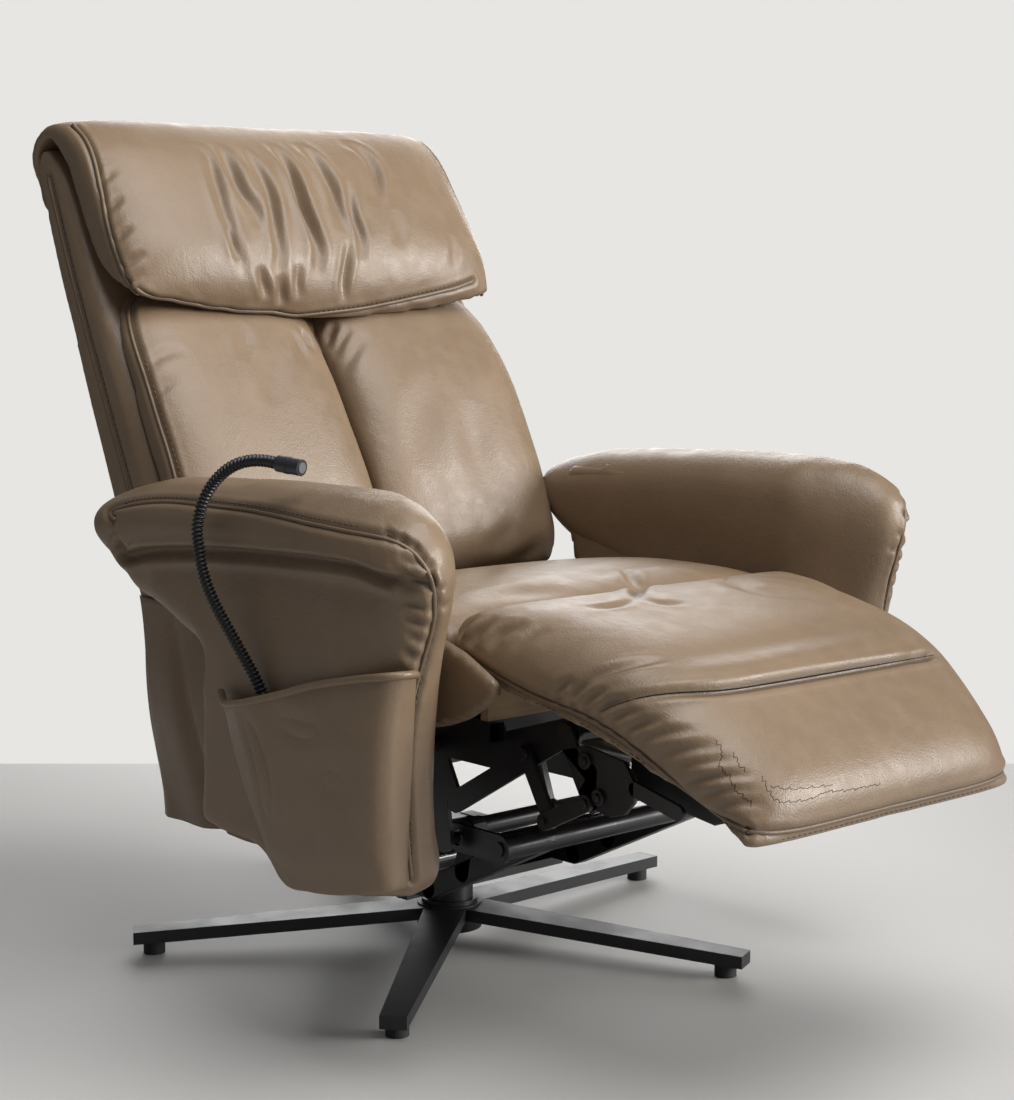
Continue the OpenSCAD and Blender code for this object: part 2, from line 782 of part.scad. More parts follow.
// Inner face of an armrest, beside the seat cushion
module arm_inner() {
    outer = panel_x - panel_t - soft_gap;
    low = inner_pad_low_share * crease_z;
    inner = inner_face_x - 0.03 * roll_w;
    rows_shares = [0, 0.06, 0.5, 0.94, 1];
    places_shares = [0, 0.03, 0.12, 0.5, 0.9, 0.98, 1];
    function bulge(a, b) = pow(1 - pow(abs(2 * a - 1), 8), 0.5) * pow(1 - pow(abs(2 * b - 1), 12), 0.5);
    padded(
        [for (v = places_shares) [for (w = rows_shares)
            [outer, mix(-0.87 * arm_front, seat_back, v), mix(low, crease_z, w)]]],
        [for (v = places_shares) [for (w = rows_shares)
            [mix(inner + 0.1 * roll_w, inner, bulge(v, w)), mix(-0.87 * arm_front, seat_back, v),
             mix(low, crease_z, w)]]]);
}

module arm_inner_right() {
    color(leather) chair() on_side(-1) arm_inner();
}

module arm_inner_left() {
    color(leather) chair() on_side(1) arm_inner();
}

// Rings of an armrest roll from front to rear: place, top, half width and outward shift
roll_rows_shares = [[-1, 0.55, 0.2, -0.02], [-0.984, 0.76, 0.31, -0.02], [-0.95, 0.9, 0.4, -0.01],
                    [-0.88, 0.97, 0.46, 0], [-0.78, 0.98, 0.5, 0], [-0.55, 0.975, 0.5, 0],
                    [-0.275, 0.95, 0.5, 0], [0, 0.88, 0.49, 0.01], [0.154, 0.78, 0.44, 0.06],
                    [0.264, 0.66, 0.33, 0.15], [0.341, 0.48, 0.24, 0.2], [0.369, 0.3, 0.14, 0.22]];
ring_steps = 18;

module arm_roll() {
    h = arm_top_z - crease_z - soft_gap;
    middle = arm_half_w - roll_w / 2;
    function side_wave(a) = sign(cos(a)) * pow(abs(cos(a)), 0.75);
    function top_wave(a) = sin(a) > 0 ? pow(sin(a), 0.85) : 0.85 * sin(a);
    loft([for (row = roll_rows_shares)
        [for (i = [0 : ring_steps - 1])
            let (a = (i + 0.5) * 360 / ring_steps)
                [middle + roll_w * (row[3] + row[2] * side_wave(a)),
                 row[0] * arm_front,
                 crease_z + soft_gap + h * row[1] * max(0, 0.36 + 0.64 * top_wave(a))]]]);
}

module arm_roll_right() {
    color(leather) chair() on_side(-1) arm_roll();
}

module arm_roll_left() {
    color(leather) chair() on_side(1) arm_roll();
}

bracket_z = 305;
bracket_places_shares = [-0.65, -0.28];
bracket_plate_t = 3;

// Steel brackets that carry the arm panels from the side plates
module arm_brackets() {
    outer = panel_x - panel_t;
    color(steel) chair() both_sides() union() {
        for (share = bracket_places_shares)
            cross_bar([share * seat_rail_front, bracket_z], recline_shaft_r, plate_x + bar_t / 2, outer - bracket_plate_t);
        block([outer - bracket_plate_t, -0.8 * seat_rail_front, bracket_z - 2 * seat_rail_w],
              [outer, -0.22 * seat_rail_front, bracket_z + 3 * seat_rail_w]);
    }
}

// Side pocket on the right armrest: front sheet, rims and foot, open at the top

pocket_outline_shares = [[-0.26, 0.6], [-0.35, 0.57], [-0.44, 0.58], [-0.62, 0.64], [-0.68, 0.68], [-0.85, 0.77],
                         [-0.85, 0.4], [-0.845, 0.16], [-0.8, 0.1], [-0.66, 0.075], [-0.44, 0.08], [-0.29, 0.14],
                         [-0.237, 0.3]];
pocket_room_shares = [[-0.27, 0.9], [-0.832, 0.9], [-0.83, 0.4], [-0.822, 0.18], [-0.77, 0.125],
                      [-0.66, 0.1], [-0.45, 0.105], [-0.303, 0.16], [-0.26, 0.3]];

function on_panel(shares) = [for (p = shares)
    [p[0] * arm_front, panel_low_z + p[1] * (crease_z - panel_low_z)]];

module side_pocket() {
    inner = panel_x + soft_gap;
    room = pocket_depth - pocket_wall;
    color(leather) chair() on_side(-1) difference() {
        side_plate(inner + pocket_depth / 2, pocket_depth)
            polygon(on_panel(pocket_outline_shares));
        side_plate(inner + (room - overrun) / 2, room + overrun)
            polygon(on_panel(pocket_room_shares));
    }
}

// Route of the gooseneck from its socket in the pocket, over the armrest, to the control head
hose_route = [[-407, -200, 330], [-407, -200, 347], [-408, -197, 366], [-411, -191, 384], [-414, -182, 401],
              [-418, -171, 418], [-422, -160, 435], [-426, -149, 452], [-430, -138, 470], [-433, -128, 489],
              [-434, -120, 508], [-434, -115, 528], [-434, -113, 548], [-431, -115, 567], [-427, -123, 586],
              [-422, -136, 602], [-416, -153, 614], [-409, -171, 620], [-403, -190, 621], [-398, -208, 619]];
hose_sides = 8;
bore_step = 4;

// Point and direction on the smooth curve through the route, t counted in stretches
function route_at(i) = hose_route[max(0, min(len(hose_route) - 1, i))];
function curve_point(t) =
    let (i = min(floor(t), len(hose_route) - 2), f = t - i,
         a = route_at(i - 1), b = route_at(i), c = route_at(i + 1), d = route_at(i + 2))
    (2 * b + (c - a) * f + (2 * a - 5 * b + 4 * c - d) * f * f + (3 * b - a - 3 * c + d) * f * f * f) / 2;
function curve_way(t) =
    let (i = min(floor(t), len(hose_route) - 2), f = t - i,
         a = route_at(i - 1), b = route_at(i), c = route_at(i + 1), d = route_at(i + 2),
         v = c - a + 2 * (2 * a - 5 * b + 4 * c - d) * f + 3 * (3 * b - a - 3 * c + d) * f * f)
    v / norm(v);
function ring_at(t, r) =
    let (c = curve_point(t), w = curve_way(t), n = cross(w, [1, 0, 0]) / norm(cross(w, [1, 0, 0])),
         m = cross(w, n))
    [for (i = [0 : hose_sides - 1]) c + r * (cos(360 / hose_sides * i) * n + sin(360 / hose_sides * i) * m)];

// Ribbed hose with its bore
module gooseneck_hose() {
    stretches = len(hose_route) - 1;
    crest = hose_d / 2;
    groove = 0.82 * crest;
    outer = [for (j = [0 : 2 * hose_ribs])
        ring_at(j / (2 * hose_ribs) * stretches, j % 2 == 0 ? groove : crest)];
    bore = [for (j = [2 * hose_ribs : -2 * bore_step : 0])
        ring_at(j / (2 * hose_ribs) * stretches, hose_bore / 2)];
    rings = concat(outer, bore);
    m = len(rings);
    n = hose_sides;
    function at(k, i) = (k % m) * n + i % n;
    faces = [for (k = [0 : m - 1], i = [0 : n - 1])
        each quad(at(k, i), at(k, i + 1), at(k + 1, i + 1), at(k + 1, i))];
    color(rubber) chair() closed(flat(rings), faces);
}

socket_r = 0.6 * hose_d;
socket_h = 2.3 * hose_d;

// Socket on the arm panel, inside the pocket
module gooseneck_socket() {
    foot = hose_route[0];
    color(rubber) chair() union() {
        translate([foot[0], foot[1], foot[2] - socket_h])
            cylinder(h = socket_h, r = socket_r, $fn = round_fn);
        block([-panel_x - bar_t, foot[1] - 1.5 * socket_r, foot[2] - socket_h],
              [-panel_x - soft_gap / 2, foot[1] + 1.5 * socket_r, foot[2] - socket_h / 4]);
    }
}

// Turns a part that is drawn along +Z to lie along the hose's end
module at_hose_end() {
    tip = curve_point(len(hose_route) - 1);
    way = curve_way(len(hose_route) - 1);
    translate(tip)
        rotate([0, acos(way[2]), atan2(way[1], way[0])]) children();
}

button_t = 3;

module control_head() {
    color(rubber) chair() at_hose_end() difference() {
        union() {
            cylinder(h = control_length, r = control_d / 2, $fn = round_fn);
            translate([0, 0, control_length / 3])
                cylinder(h = control_length / 6, r = control_d / 2 + soft_gap, $fn = round_fn);
        }
        translate([0, 0, control_length - button_t - button_travel])
            cylinder(h = control_length, r = button_d / 2 + running_gap, $fn = round_fn);
    }
}

module control_button() {
    color("#4a4a4a") chair() at_hose_end()
        translate([0, 0, control_length - button_t + running_gap])
            cylinder(h = button_t + button_travel / 2, r = button_d / 2, $fn = round_fn);
}

// Footrest

fold_lean = 31.5;
fold_pin = [fold_pivot[0] - pin_offset(fold_rod_drop, fold_lean), fold_z - fold_rod_drop];
fold_mouth = -0.93 * seat_rail_front;
fold_tube_length = 0.57 * seat_rail_front;
saddle_w = 24;

module footrest_shaft() {
    color(steel) chair() union() {
        cross_bar(fold_pivot, fold_shaft_r, -bracket_x + bar_t / 2, bracket_x - bar_t / 2);
        slotted_crank(fold_pivot, -actuator_x, fold_shaft_r, fold_rod_drop, -fold_lean, 1.45, 4 * slot_gap);
    }
}

// A saddle joins the actuator's tube to the cross tube over it
module saddle(x, share) {
    y = share * seat_rail_front;
    z = seat_rail_z - seat_rail_w / 2;
    block([x - saddle_w / 2, y, z - 0.5 * actuator_r], [x + saddle_w / 2, y + seat_rail_w, z]);
}

module footrest_actuator() {
    color(steel) chair() difference() {
        union() {
            actuator_housing(fold_mouth, fold_pin[1], -actuator_x, actuator_r, -1, fold_tube_length, -1);
            saddle(-actuator_x, cross_places_shares[0]);
            saddle(-actuator_x, cross_places_shares[1]);
        }
        translate([-actuator_x, fold_mouth - overrun, fold_pin[1]]) rotate([-90, 0, 0])
            cylinder(h = fold_tube_length - 2.5 * motor_r, r = rod_r + running_gap, $fn = round_fn);
    }
}

module footrest_rod() {
    color("silver") chair() actuator_rod(fold_pin, -actuator_x, -1, 20 * rod_r);
}

bracket_x = plate_x + 1.6 * bar_t;
coupler_x = bracket_x + 1.6 * bar_t;

// Underside of the leg pad: start and end of the board, from the footrest pivot
board_start_shares = [0.43, -0.1];
board_end_shares = [0.9, -0.87];

function from_fold(share) = fold_pivot + [-share[0] * pad_reach, share[1] * pad_rise];

board_rear = from_fold(board_start_shares);
board_front = from_fold(board_end_shares);
board_way = (board_front - board_rear) / norm(board_front - board_rear);
board_down = [-board_way[1], board_way[0]];

// The bracket turns on the footrest shaft, holds the linkage pin, and runs along under the board
module footrest_brackets() {
    arm_drop = board_t + 0.5 * link_w + soft_gap;
    elbow = board_rear + board_down * arm_drop + board_way * link_w;
    reach = board_front + board_down * arm_drop - board_way * 4 * link_w;
    color(steel) chair() both_sides() union() {
        side_plate(bracket_x, bar_t) {
            bar_outline(fold_pivot, crank_pin, 1.2 * link_w);
            bar_outline(fold_pivot, elbow, 1.4 * link_w);
            bar_outline(crank_pin, elbow, link_w);
            polygon([fold_pivot, crank_pin, elbow]);
            bar_outline(elbow, reach, link_w);
        }
        cross_bar(crank_pin, link_pin_r, bracket_x, coupler_x + bar_t);
    }
}

pad_widths_shares = [1, 0.995, 0.985, 0.965, 0.92, 0.87, 0.815, 0.77];
board_width_share = 0.84;

module footrest_board() {
    color(rubber) chair()
        side_plate(0, 2 * board_width_share * pad_half_w * 0.92)
            polygon([board_rear, board_front, board_front + board_down * board_t,
                     board_rear + board_down * board_t]);
}

// Outline of the footrest pad from the rear of its top over the front to its foot
pad_top_shares = [[0.3, 0.92], [0.5, 0.7], [0.67, 0.42], [0.82, -0.02], [0.93, -0.46], [0.985, -0.76],
                  [0.97, -0.9]];
pad_low_shares = [[0.43, -0.09], [0.56, -0.3], [0.7, -0.53], [0.88, -0.83]];
pad_gap = 6;

function pad_outer(r) = concat(
    [[-cos(68), sin(68)] * (r + 1.3 * pad_gap)],
    [for (p = pad_top_shares) [-p[0] * pad_reach, p[1] * pad_rise * mix(1, r / knee_r, p[1] > 0 ? 1 : 0)]]);
function pad_inner(r) = concat(
    [for (a = [68, 48, 28, 10]) [-cos(a), sin(a)] * (r + pad_gap)],
    [for (p = pad_low_shares) [-p[0] * pad_reach, p[1] * pad_rise]]);

module footrest_pad() {
    function slice(points, u) = [for (i = [0 : len(points) - 1])
        [-u * pad_half_w * mix(1, pad_widths_shares[i], 0.9), fold_pivot[0] + points[i][0],
         fold_z + points[i][1]]];
    color(leather) chair() padded(
        [for (u = across_shares) slice(pad_outer(knee_r * fullness(u, pad_edge_share)), u)],
        [for (u = across_shares) slice(pad_inner(knee_r * fullness(u, pad_edge_share)), u)]);
}

// Rockers swing on the side plates and stay parallel to the brackets' cranks
module rocker_bars() {
    color(steel) chair() both_sides() union() {
        side_plate(bracket_x, bar_t) difference() {
            bar_outline(rocker_pivot, rocker_end, link_w);
            translate(rocker_pivot) circle(r = link_pin_r + running_gap, $fn = round_fn);
        }
        cross_bar(rocker_end, link_pin_r, bracket_x, coupler_x + bar_t);
    }
}

open_gap = 0.5;

// Couplers join the brackets' pins to the rockers' ends
module coupler_bars() {
    color(steel) chair() both_sides()
        side_plate(coupler_x, bar_t) difference() {
            bar_outline(crank_pin, rocker_end, link_w);
            translate(crank_pin) circle(r = link_pin_r + open_gap, $fn = round_fn);
            translate(rocker_end) circle(r = link_pin_r + running_gap, $fn = round_fn);
        }
}

head_r = 1.5 * link_pin_r;
head_t = 0.8 * link_pin_r;

// Bolt heads on the rockers' pivots and on the arm brackets' ends inside the side plates
module linkage_bolts() {
    color("#2b2c2e") chair() both_sides() {
        cross_bar(rocker_pivot, head_r, plate_x + 2.3 * bar_t, plate_x + 2.3 * bar_t + head_t);
        for (share = bracket_places_shares)
            cross_bar([share * seat_rail_front, bracket_z], head_r, plate_x - bar_t / 2 - head_t, plate_x - bar_t / 2);
    }
}

// Backrest

recline_lean = 13;
recline_pin = [recline_pivot[0] + pin_offset(recline_rod_drop, recline_lean), recline_z - recline_rod_drop];
recline_mouth = 0.227 * seat_rail_front;
recline_tube_length = 0.6 * seat_rail_front;
ear_x = plate_x - 3 * bar_t;
carrier_t = 8;

module recline_shaft() {
    color(steel) chair() union() {
        cross_bar(recline_pivot, recline_shaft_r, -plate_x - bar_t, plate_x + bar_t);
        slotted_crank(recline_pivot, actuator_x, recline_shaft_r, recline_rod_drop, recline_lean, 1.17, 2 * slot_gap);
    }
}

module recline_actuator() {
    color(steel) chair() difference() {
        union() {
            actuator_housing(recline_mouth, recline_pin[1], actuator_x, actuator_r, 1, recline_tube_length, 1);
            saddle(actuator_x, cross_places_shares[2]);
            saddle(actuator_x, cross_places_shares[3]);
        }
        translate([actuator_x, recline_mouth + overrun, recline_pin[1]]) rotate([90, 0, 0])
            cylinder(h = recline_tube_length - 2.5 * motor_r, r = rod_r + running_gap, $fn = round_fn);
    }
}

module recline_rod() {
    color("silver") chair() actuator_rod(recline_pin, actuator_x, 1, 15 * rod_r);
}

// Plate under the backrest with two ears that are welded to the recline shaft
module back_carrier() {
    low = back_low_z - soft_gap - carrier_t;
    front = recline_pivot[0] - 0.22 * recline_back;
    rear = recline_pivot[0] + 0.5 * recline_back;
    color(steel) chair() union() {
        block([-0.9 * back_half_w, front, low], [0.9 * back_half_w, rear, low + carrier_t]);
        both_sides() side_plate(ear_x, 1.6 * bar_t) difference() {
            polygon([[recline_pivot[0] - 2 * recline_shaft_r, recline_z - 2 * recline_shaft_r],
                     [recline_pivot[0] + 2 * recline_shaft_r, recline_z - 2 * recline_shaft_r],
                     [rear, low + carrier_t / 2], [front, low + carrier_t / 2]]);
            translate(recline_pivot) circle(r = recline_shaft_r, $fn = round_fn);
        }
    }
}

// Rows of the backrest shell from its foot up: height, rear face, front face and width
shell_rows_shares = [[0, 0.53, 0.275, 0.96], [0.02, 0.54, 0.278, 0.99], [0.16, 0.602, 0.335, 1],
                     [0.29, 0.655, 0.412, 1], [0.46, 0.742, 0.515, 0.99], [0.62, 0.825, 0.618, 0.98],
                     [0.71, 0.873, 0.7, 0.97], [0.85, 0.94, 0.79, 0.96], [0.95, 0.985, 0.86, 0.955],
                     [0.985, 0.995, 0.885, 0.95], [1, 0.975, 0.91, 0.93]];

function shell_row_z(row) = mix(back_low_z, back_top_z, row[0]);

module back_shell() {
    function edge(u) = pow(1 - pow(abs(u), 10), 0.5);
    color(leather) chair() padded(
        [for (u = across_shares) [for (row = shell_rows_shares)
            [u * back_half_w * row[3], mix(mix(row[1], row[2], 0.75), row[2], edge(u)) * back_reach,
             shell_row_z(row)]]],
        [for (u = across_shares) [for (row = shell_rows_shares)
            [u * back_half_w * row[3], mix(mix(row[1], row[2], 0.3), row[1], edge(u)) * back_reach,
             shell_row_z(row)]]]);
}

// Rows of a back cushion from its foot up: height, face and outer edge
cushion_rows_shares = [[0.038, 0.245, 0.94], [0.06, 0.226, 0.955], [0.12, 0.217, 0.96], [0.16, 0.229, 0.96],
                       [0.32, 0.3, 0.96], [0.49, 0.41, 0.955], [0.6, 0.515, 0.945], [0.65, 0.575, 0.92],
                       [0.685, 0.63, 0.86], [0.7, 0.665, 0.78]];
cushion_places_shares = [0, 0.03, 0.12, 0.28, 0.5, 0.72, 0.88, 0.97, 1];
seam_gap = 1.5;
cushion_gap = 1.5;

module back_cushion() {
    shell_face = [for (row = shell_rows_shares) [row[0], row[2]]];
    function rear(row) = lookup(row[0], shell_face);
    function bulge(v) = mix(0.42, 1, pow(1 - pow(abs(2 * v - 1), 5), 0.5));
    function x_at(row, v) = mix(seam_gap, row[2] * back_half_w, v);
    padded(
        [for (v = cushion_places_shares) [for (row = cushion_rows_shares)
            [x_at(row, v), mix(rear(row), row[1], bulge(v)) * back_reach - cushion_gap,
             mix(back_low_z, back_top_z, row[0])]]],
        [for (v = cushion_places_shares) [for (row = cushion_rows_shares)
            [x_at(row, v), rear(row) * back_reach - cushion_gap,
             mix(back_low_z, back_top_z, row[0])]]]);
}

module back_cushion_right() {
    color(leather) chair() on_side(-1) back_cushion();
}

module back_cushion_left() {
    color(leather) chair() on_side(1) back_cushion();
}

// Head pillow, folded over its hinge bar on top of the backrest

hinge_pivot = [0.965 * back_reach, back_top_z + hinge_bar_r + soft_gap];
hinge_feet_shares = [-0.7, 0, 0.7];

module headrest_hinge() {
    foot_w = 2 * hinge_bar_r;
    color(steel) chair() union() {
        cross_bar(hinge_pivot, hinge_bar_r, -0.88 * pillow_half_w, 0.88 * pillow_half_w);
        for (share = hinge_feet_shares)
            block([share * pillow_half_w - foot_w, hinge_pivot[0] - 0.6 * hinge_bar_r, back_top_z + soft_gap / 2],
                  [share * pillow_half_w + foot_w, hinge_pivot[0] + 0.4 * hinge_bar_r, hinge_pivot[1]]);
    }
}

// Outlines of the pillow from its rear lip over the top to its lower edge, from the hinge
pillow_outer_shares = [[0.15, -0.03], [0.165, 0.03], [0.12, 0.1], [0.02, 0.16], [-0.12, 0.175], [-0.27, 0.13],
                       [-0.43, 0.03], [-0.6, -0.13], [-0.74, -0.3], [-0.82, -0.48], [-0.84, -0.64],
                       [-0.83, -0.76], [-0.79, -0.835]];
pillow_inner_shares = [[-0.1, -0.02], [-0.18, -0.1], [-0.23, -0.2], [-0.3, -0.31], [-0.38, -0.42],
                       [-0.48, -0.53], [-0.59, -0.655], [-0.69, -0.75], [-0.755, -0.8]];
sleeve_angles = [-15, 35, 85, 135];

module head_pillow() {
    sleeve_r = (hinge_bar_r + soft_gap) / cos(25);
    function spots(shares) = [for (p = shares) [p[0] * pillow_depth, p[1] * pillow_h]];
    outer = spots(pillow_outer_shares);
    inner = concat([for (a = sleeve_angles) sleeve_r * [cos(a), sin(a)]], spots(pillow_inner_shares));
    function slice(points, u) = [for (p = points)
        [-u * pillow_half_w, hinge_pivot[0] + p[0], hinge_pivot[1] + p[1]]];
    function thinned(u) = [for (i = [0 : len(outer) - 1]) mix(inner[i], outer[i], fullness(u, 0.5))];
    color(leather) chair() padded(
        [for (u = across_shares) slice(thinned(u), u)],
        [for (u = across_shares) slice(inner, u)]);
}

// Power supply under the seat

power_box_w = 90;
power_box_h = 36;

module power_box() {
    top = seat_rail_z - seat_rail_w / 2;
    y = cross_places_shares[2] * seat_rail_front;
    color(rubber) chair()
        block([-1.75 * power_box_w, y - seat_rail_w, top - power_box_h],
              [-0.75 * power_box_w, y + 3 * seat_rail_w, top]);
}

star_base();
column();
floor_glides();
swivel_plate();
swivel_rails();
frame_tube();
front_cross_tube();
lift_actuator();
lift_arms();
lift_crank();
lift_rod();
front_links();
side_plate_right();
side_plate_left();
seat_frame();
seat_webbing();
seat_cushion();
seat_aprons();
rear_skirt();
front_board();
knee_pad();
arm_brackets();
arm_panel_right();
arm_panel_left();
arm_inner_right();
arm_inner_left();
arm_roll_right();
arm_roll_left();
side_pocket();
gooseneck_socket();
gooseneck_hose();
control_head();
control_button();
footrest_actuator();
footrest_rod();
recline_actuator();
recline_rod();
footrest_shaft();
footrest_brackets();
footrest_board();
footrest_pad();
rocker_bars();
coupler_bars();
linkage_bolts();
recline_shaft();
back_carrier();
back_shell();
back_cushion_right();
back_cushion_left();
headrest_hinge();
head_pillow();
power_box();
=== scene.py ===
# %% Frame
import math

import bpy
import bmesh
import numpy as np
from mathutils import Euler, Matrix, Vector
from mathutils.bvhtree import BVHTree


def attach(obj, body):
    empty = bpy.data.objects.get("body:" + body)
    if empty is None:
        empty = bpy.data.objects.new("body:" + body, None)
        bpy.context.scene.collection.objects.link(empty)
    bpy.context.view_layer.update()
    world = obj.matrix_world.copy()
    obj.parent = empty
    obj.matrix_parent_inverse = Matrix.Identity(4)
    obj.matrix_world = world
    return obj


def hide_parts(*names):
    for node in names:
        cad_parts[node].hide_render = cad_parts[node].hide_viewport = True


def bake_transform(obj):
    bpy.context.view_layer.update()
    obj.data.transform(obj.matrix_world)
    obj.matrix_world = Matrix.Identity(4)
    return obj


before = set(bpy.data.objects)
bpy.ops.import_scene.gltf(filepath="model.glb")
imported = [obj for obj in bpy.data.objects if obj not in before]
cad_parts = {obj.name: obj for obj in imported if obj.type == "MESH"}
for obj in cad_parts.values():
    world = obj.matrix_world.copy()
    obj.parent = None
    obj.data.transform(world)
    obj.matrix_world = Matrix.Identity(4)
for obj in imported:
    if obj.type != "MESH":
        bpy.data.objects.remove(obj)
scene = bpy.context.scene
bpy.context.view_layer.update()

# %% [markdown]
# # A lift recliner in leather
# The frame that was just loaded holds the chair's hard parts: star base, lift arms, footrest linkage,
# motors and shafts, each on the body it moves with. Its cushions are only plain solids there. This
# scene leaves the steel where it is, paints it, and makes everything soft again as leather: a head
# pillow folded over its hinge, two back panels, a seat, a long leg pad, two stuffed arms, a pocket and
# a skirt. All lengths are in metres in the frame's own axes; outlines are written in millimetres
# from the foot of the column, because that is how a chair's pattern would be measured.

# %% [markdown]
# ## Camera
# The object is judged from where its photograph was taken, so the camera comes first. Its place was
# worked out from the star base: the legs lie in one plane, 72 degrees apart, and that pins the view.
# A short helper turns a spot in the picture back into a line of sight. Seams, folds and stitches can
# then be laid on a finished cushion exactly where an eye sees them.

# %% Camera
WIDE, TALL, FOCAL = 1014, 1100, 2134
camera = bpy.data.objects.new("camera", bpy.data.cameras.new("camera"))
scene.collection.objects.link(camera)
scene.camera = camera
camera.location = (-1.648, -1.866, 0.787)
camera.rotation_euler = Euler((math.radians(83.21), 0, math.radians(-41.6)))
camera.data.lens = 36 * FOCAL / TALL
camera.data.sensor_width = 36
eye = Vector(camera.location)
turn = camera.rotation_euler.to_matrix()


def sight(spot):
    """The direction in which the camera sees a spot, given as (x, y) in the picture."""
    return (turn @ Vector((spot[0] - WIDE / 2, TALL / 2 - spot[1], -FOCAL))).normalized()


def on_wall(spots, x):
    """Where lines of sight meet the upright plane at x, as points in the frame's axes."""
    found = []
    for spot in spots:
        way = sight(spot)
        found.append(eye + way * ((x - eye.x) / way.x))
    return np.array(found)


print("camera: focal length", round(camera.data.lens, 2), "mm")

# %% [markdown]
# ## Curves and meshes
# Everything soft starts from a few given points. A Catmull-Rom spline runs through them and is
# cut into even steps, so a mesh made along it has even faces, which cloth and smoothing both need.

# %% Curves and meshes
# The foot of the column in the frame, from which the outlines are measured.
AT = np.array((0.005, 0.103, 0.0))
MM = 0.001


def spline(points, steps):
    """A smooth curve through the points, cut into steps points at even distances."""
    p = np.array(points, float)
    ends = np.vstack([2 * p[0] - p[1], p, 2 * p[-1] - p[-2]])
    fine = []
    t = np.linspace(0, 1, 24, endpoint=False)[:, None]
    for a, b, c, d in zip(ends[:-3], ends[1:-2], ends[2:-1], ends[3:]):
        fine.append(0.5 * (2 * b + (c - a) * t + (2 * a - 5 * b + 4 * c - d) * t**2
                           + (3 * b - a - 3 * c + d) * t**3))
    fine = np.vstack(fine + [p[-1:]])
    run = np.concatenate([[0], np.cumsum(np.linalg.norm(np.diff(fine, axis=0), axis=1))])
    at = np.linspace(0, run[-1], steps)
    return np.stack([np.interp(at, run, fine[:, k]) for k in range(p.shape[1])], 1)


def length_of(points):
    return float(np.linalg.norm(np.diff(np.array(points), axis=0), axis=1).sum())


def solid(name, points, faces, material=None):
    """A smooth-shaded object from points in metres and faces."""
    data = bpy.data.meshes.new(name)
    data.from_pydata([tuple(map(float, p)) for p in points], [], [tuple(map(int, f)) for f in faces])
    shape = bmesh.new()
    shape.from_mesh(data)
    bmesh.ops.remove_doubles(shape, verts=shape.verts, dist=0.00005)
    bmesh.ops.recalc_face_normals(shape, faces=shape.faces)
    shape.to_mesh(data)
    shape.free()
    data.polygons.foreach_set("use_smooth", [True] * len(data.polygons))
    made = bpy.data.objects.new(name, data)
    scene.collection.objects.link(made)
    if material:
        data.materials.append(material)
    return made


def grid_faces(rows, columns):
    """The faces of a sheet whose points are listed row by row."""
    return [(r * columns + c, r * columns + c + 1, (r + 1) * columns + c + 1, (r + 1) * columns + c)
            for r in range(rows - 1) for c in range(columns - 1)]


def thicken(obj, depth):
    """Gives a sheet its thickness, half of it to each side."""
    thick = obj.modifiers.new("thick", "SOLIDIFY")
    thick.thickness = depth
    thick.offset = 0


def points_of(obj):
    co = np.empty(len(obj.data.vertices) * 3)
    obj.data.vertices.foreach_get("co", co)
    return co.reshape(-1, 3)


def put_points(obj, co):
    obj.data.vertices.foreach_set("co", np.asarray(co, np.float64).ravel())
    obj.data.update()


def normals_of(obj):
    no = np.empty(len(obj.data.vertices) * 3)
    obj.data.vertex_normals.foreach_get("vector", no)
    return no.reshape(-1, 3)


def settle_modifiers(obj):
    """Replaces the mesh by what its modifiers make of it."""
    view = bpy.context.evaluated_depsgraph_get()
    made = bpy.data.meshes.new_from_object(obj.evaluated_get(view))
    obj.modifiers.clear()
    old, obj.data = obj.data, made
    bpy.data.meshes.remove(old)


def relax(obj, times):
    """Laplacian smoothing: every vertex moves half way to the mean of its neighbours."""
    count = len(obj.data.vertices)
    edges = np.empty(len(obj.data.edges) * 2, np.int64)
    obj.data.edges.foreach_get("vertices", edges)
    a, b = edges.reshape(-1, 2).T
    degree = np.bincount(np.concatenate([a, b]), minlength=count)[:, None].clip(1)
    co = points_of(obj)
    for _ in range(times):
        total = np.zeros_like(co)
        for k in range(3):
            total[:, k] = np.bincount(a, co[b, k], count) + np.bincount(b, co[a, k], count)
        co = 0.5 * co + 0.5 * total / degree
    put_points(obj, co)


print("kit: curves and meshes")

# %% [markdown]
# ## Gooseneck control
# The chair is worked by a button on the end of a flexible neck: a steel coil in a ribbed black sleeve
# that stands out of the side pocket, leans on the armrest and keeps any bend it is given. It is the
# one free cord here. Its line is the same as in the part, and the ribs are rings of the tube's own
# radius, since a picture of ribs would never catch the light as the real ones do.

# %% Gooseneck control
neck_mm = [(-407, -200, 330), (-407, -200, 347), (-408, -197, 366), (-411, -191, 384), (-414, -182, 401),
           (-418, -171, 418), (-422, -160, 435), (-426, -149, 452), (-430, -138, 470), (-433, -128, 489),
           (-434, -120, 508), (-434, -115, 528), (-434, -113, 548), (-431, -115, 567), (-427, -123, 586),
           (-422, -136, 602), (-416, -153, 614), (-409, -171, 620), (-403, -190, 621), (-398, -208, 619)]
ribs = 84


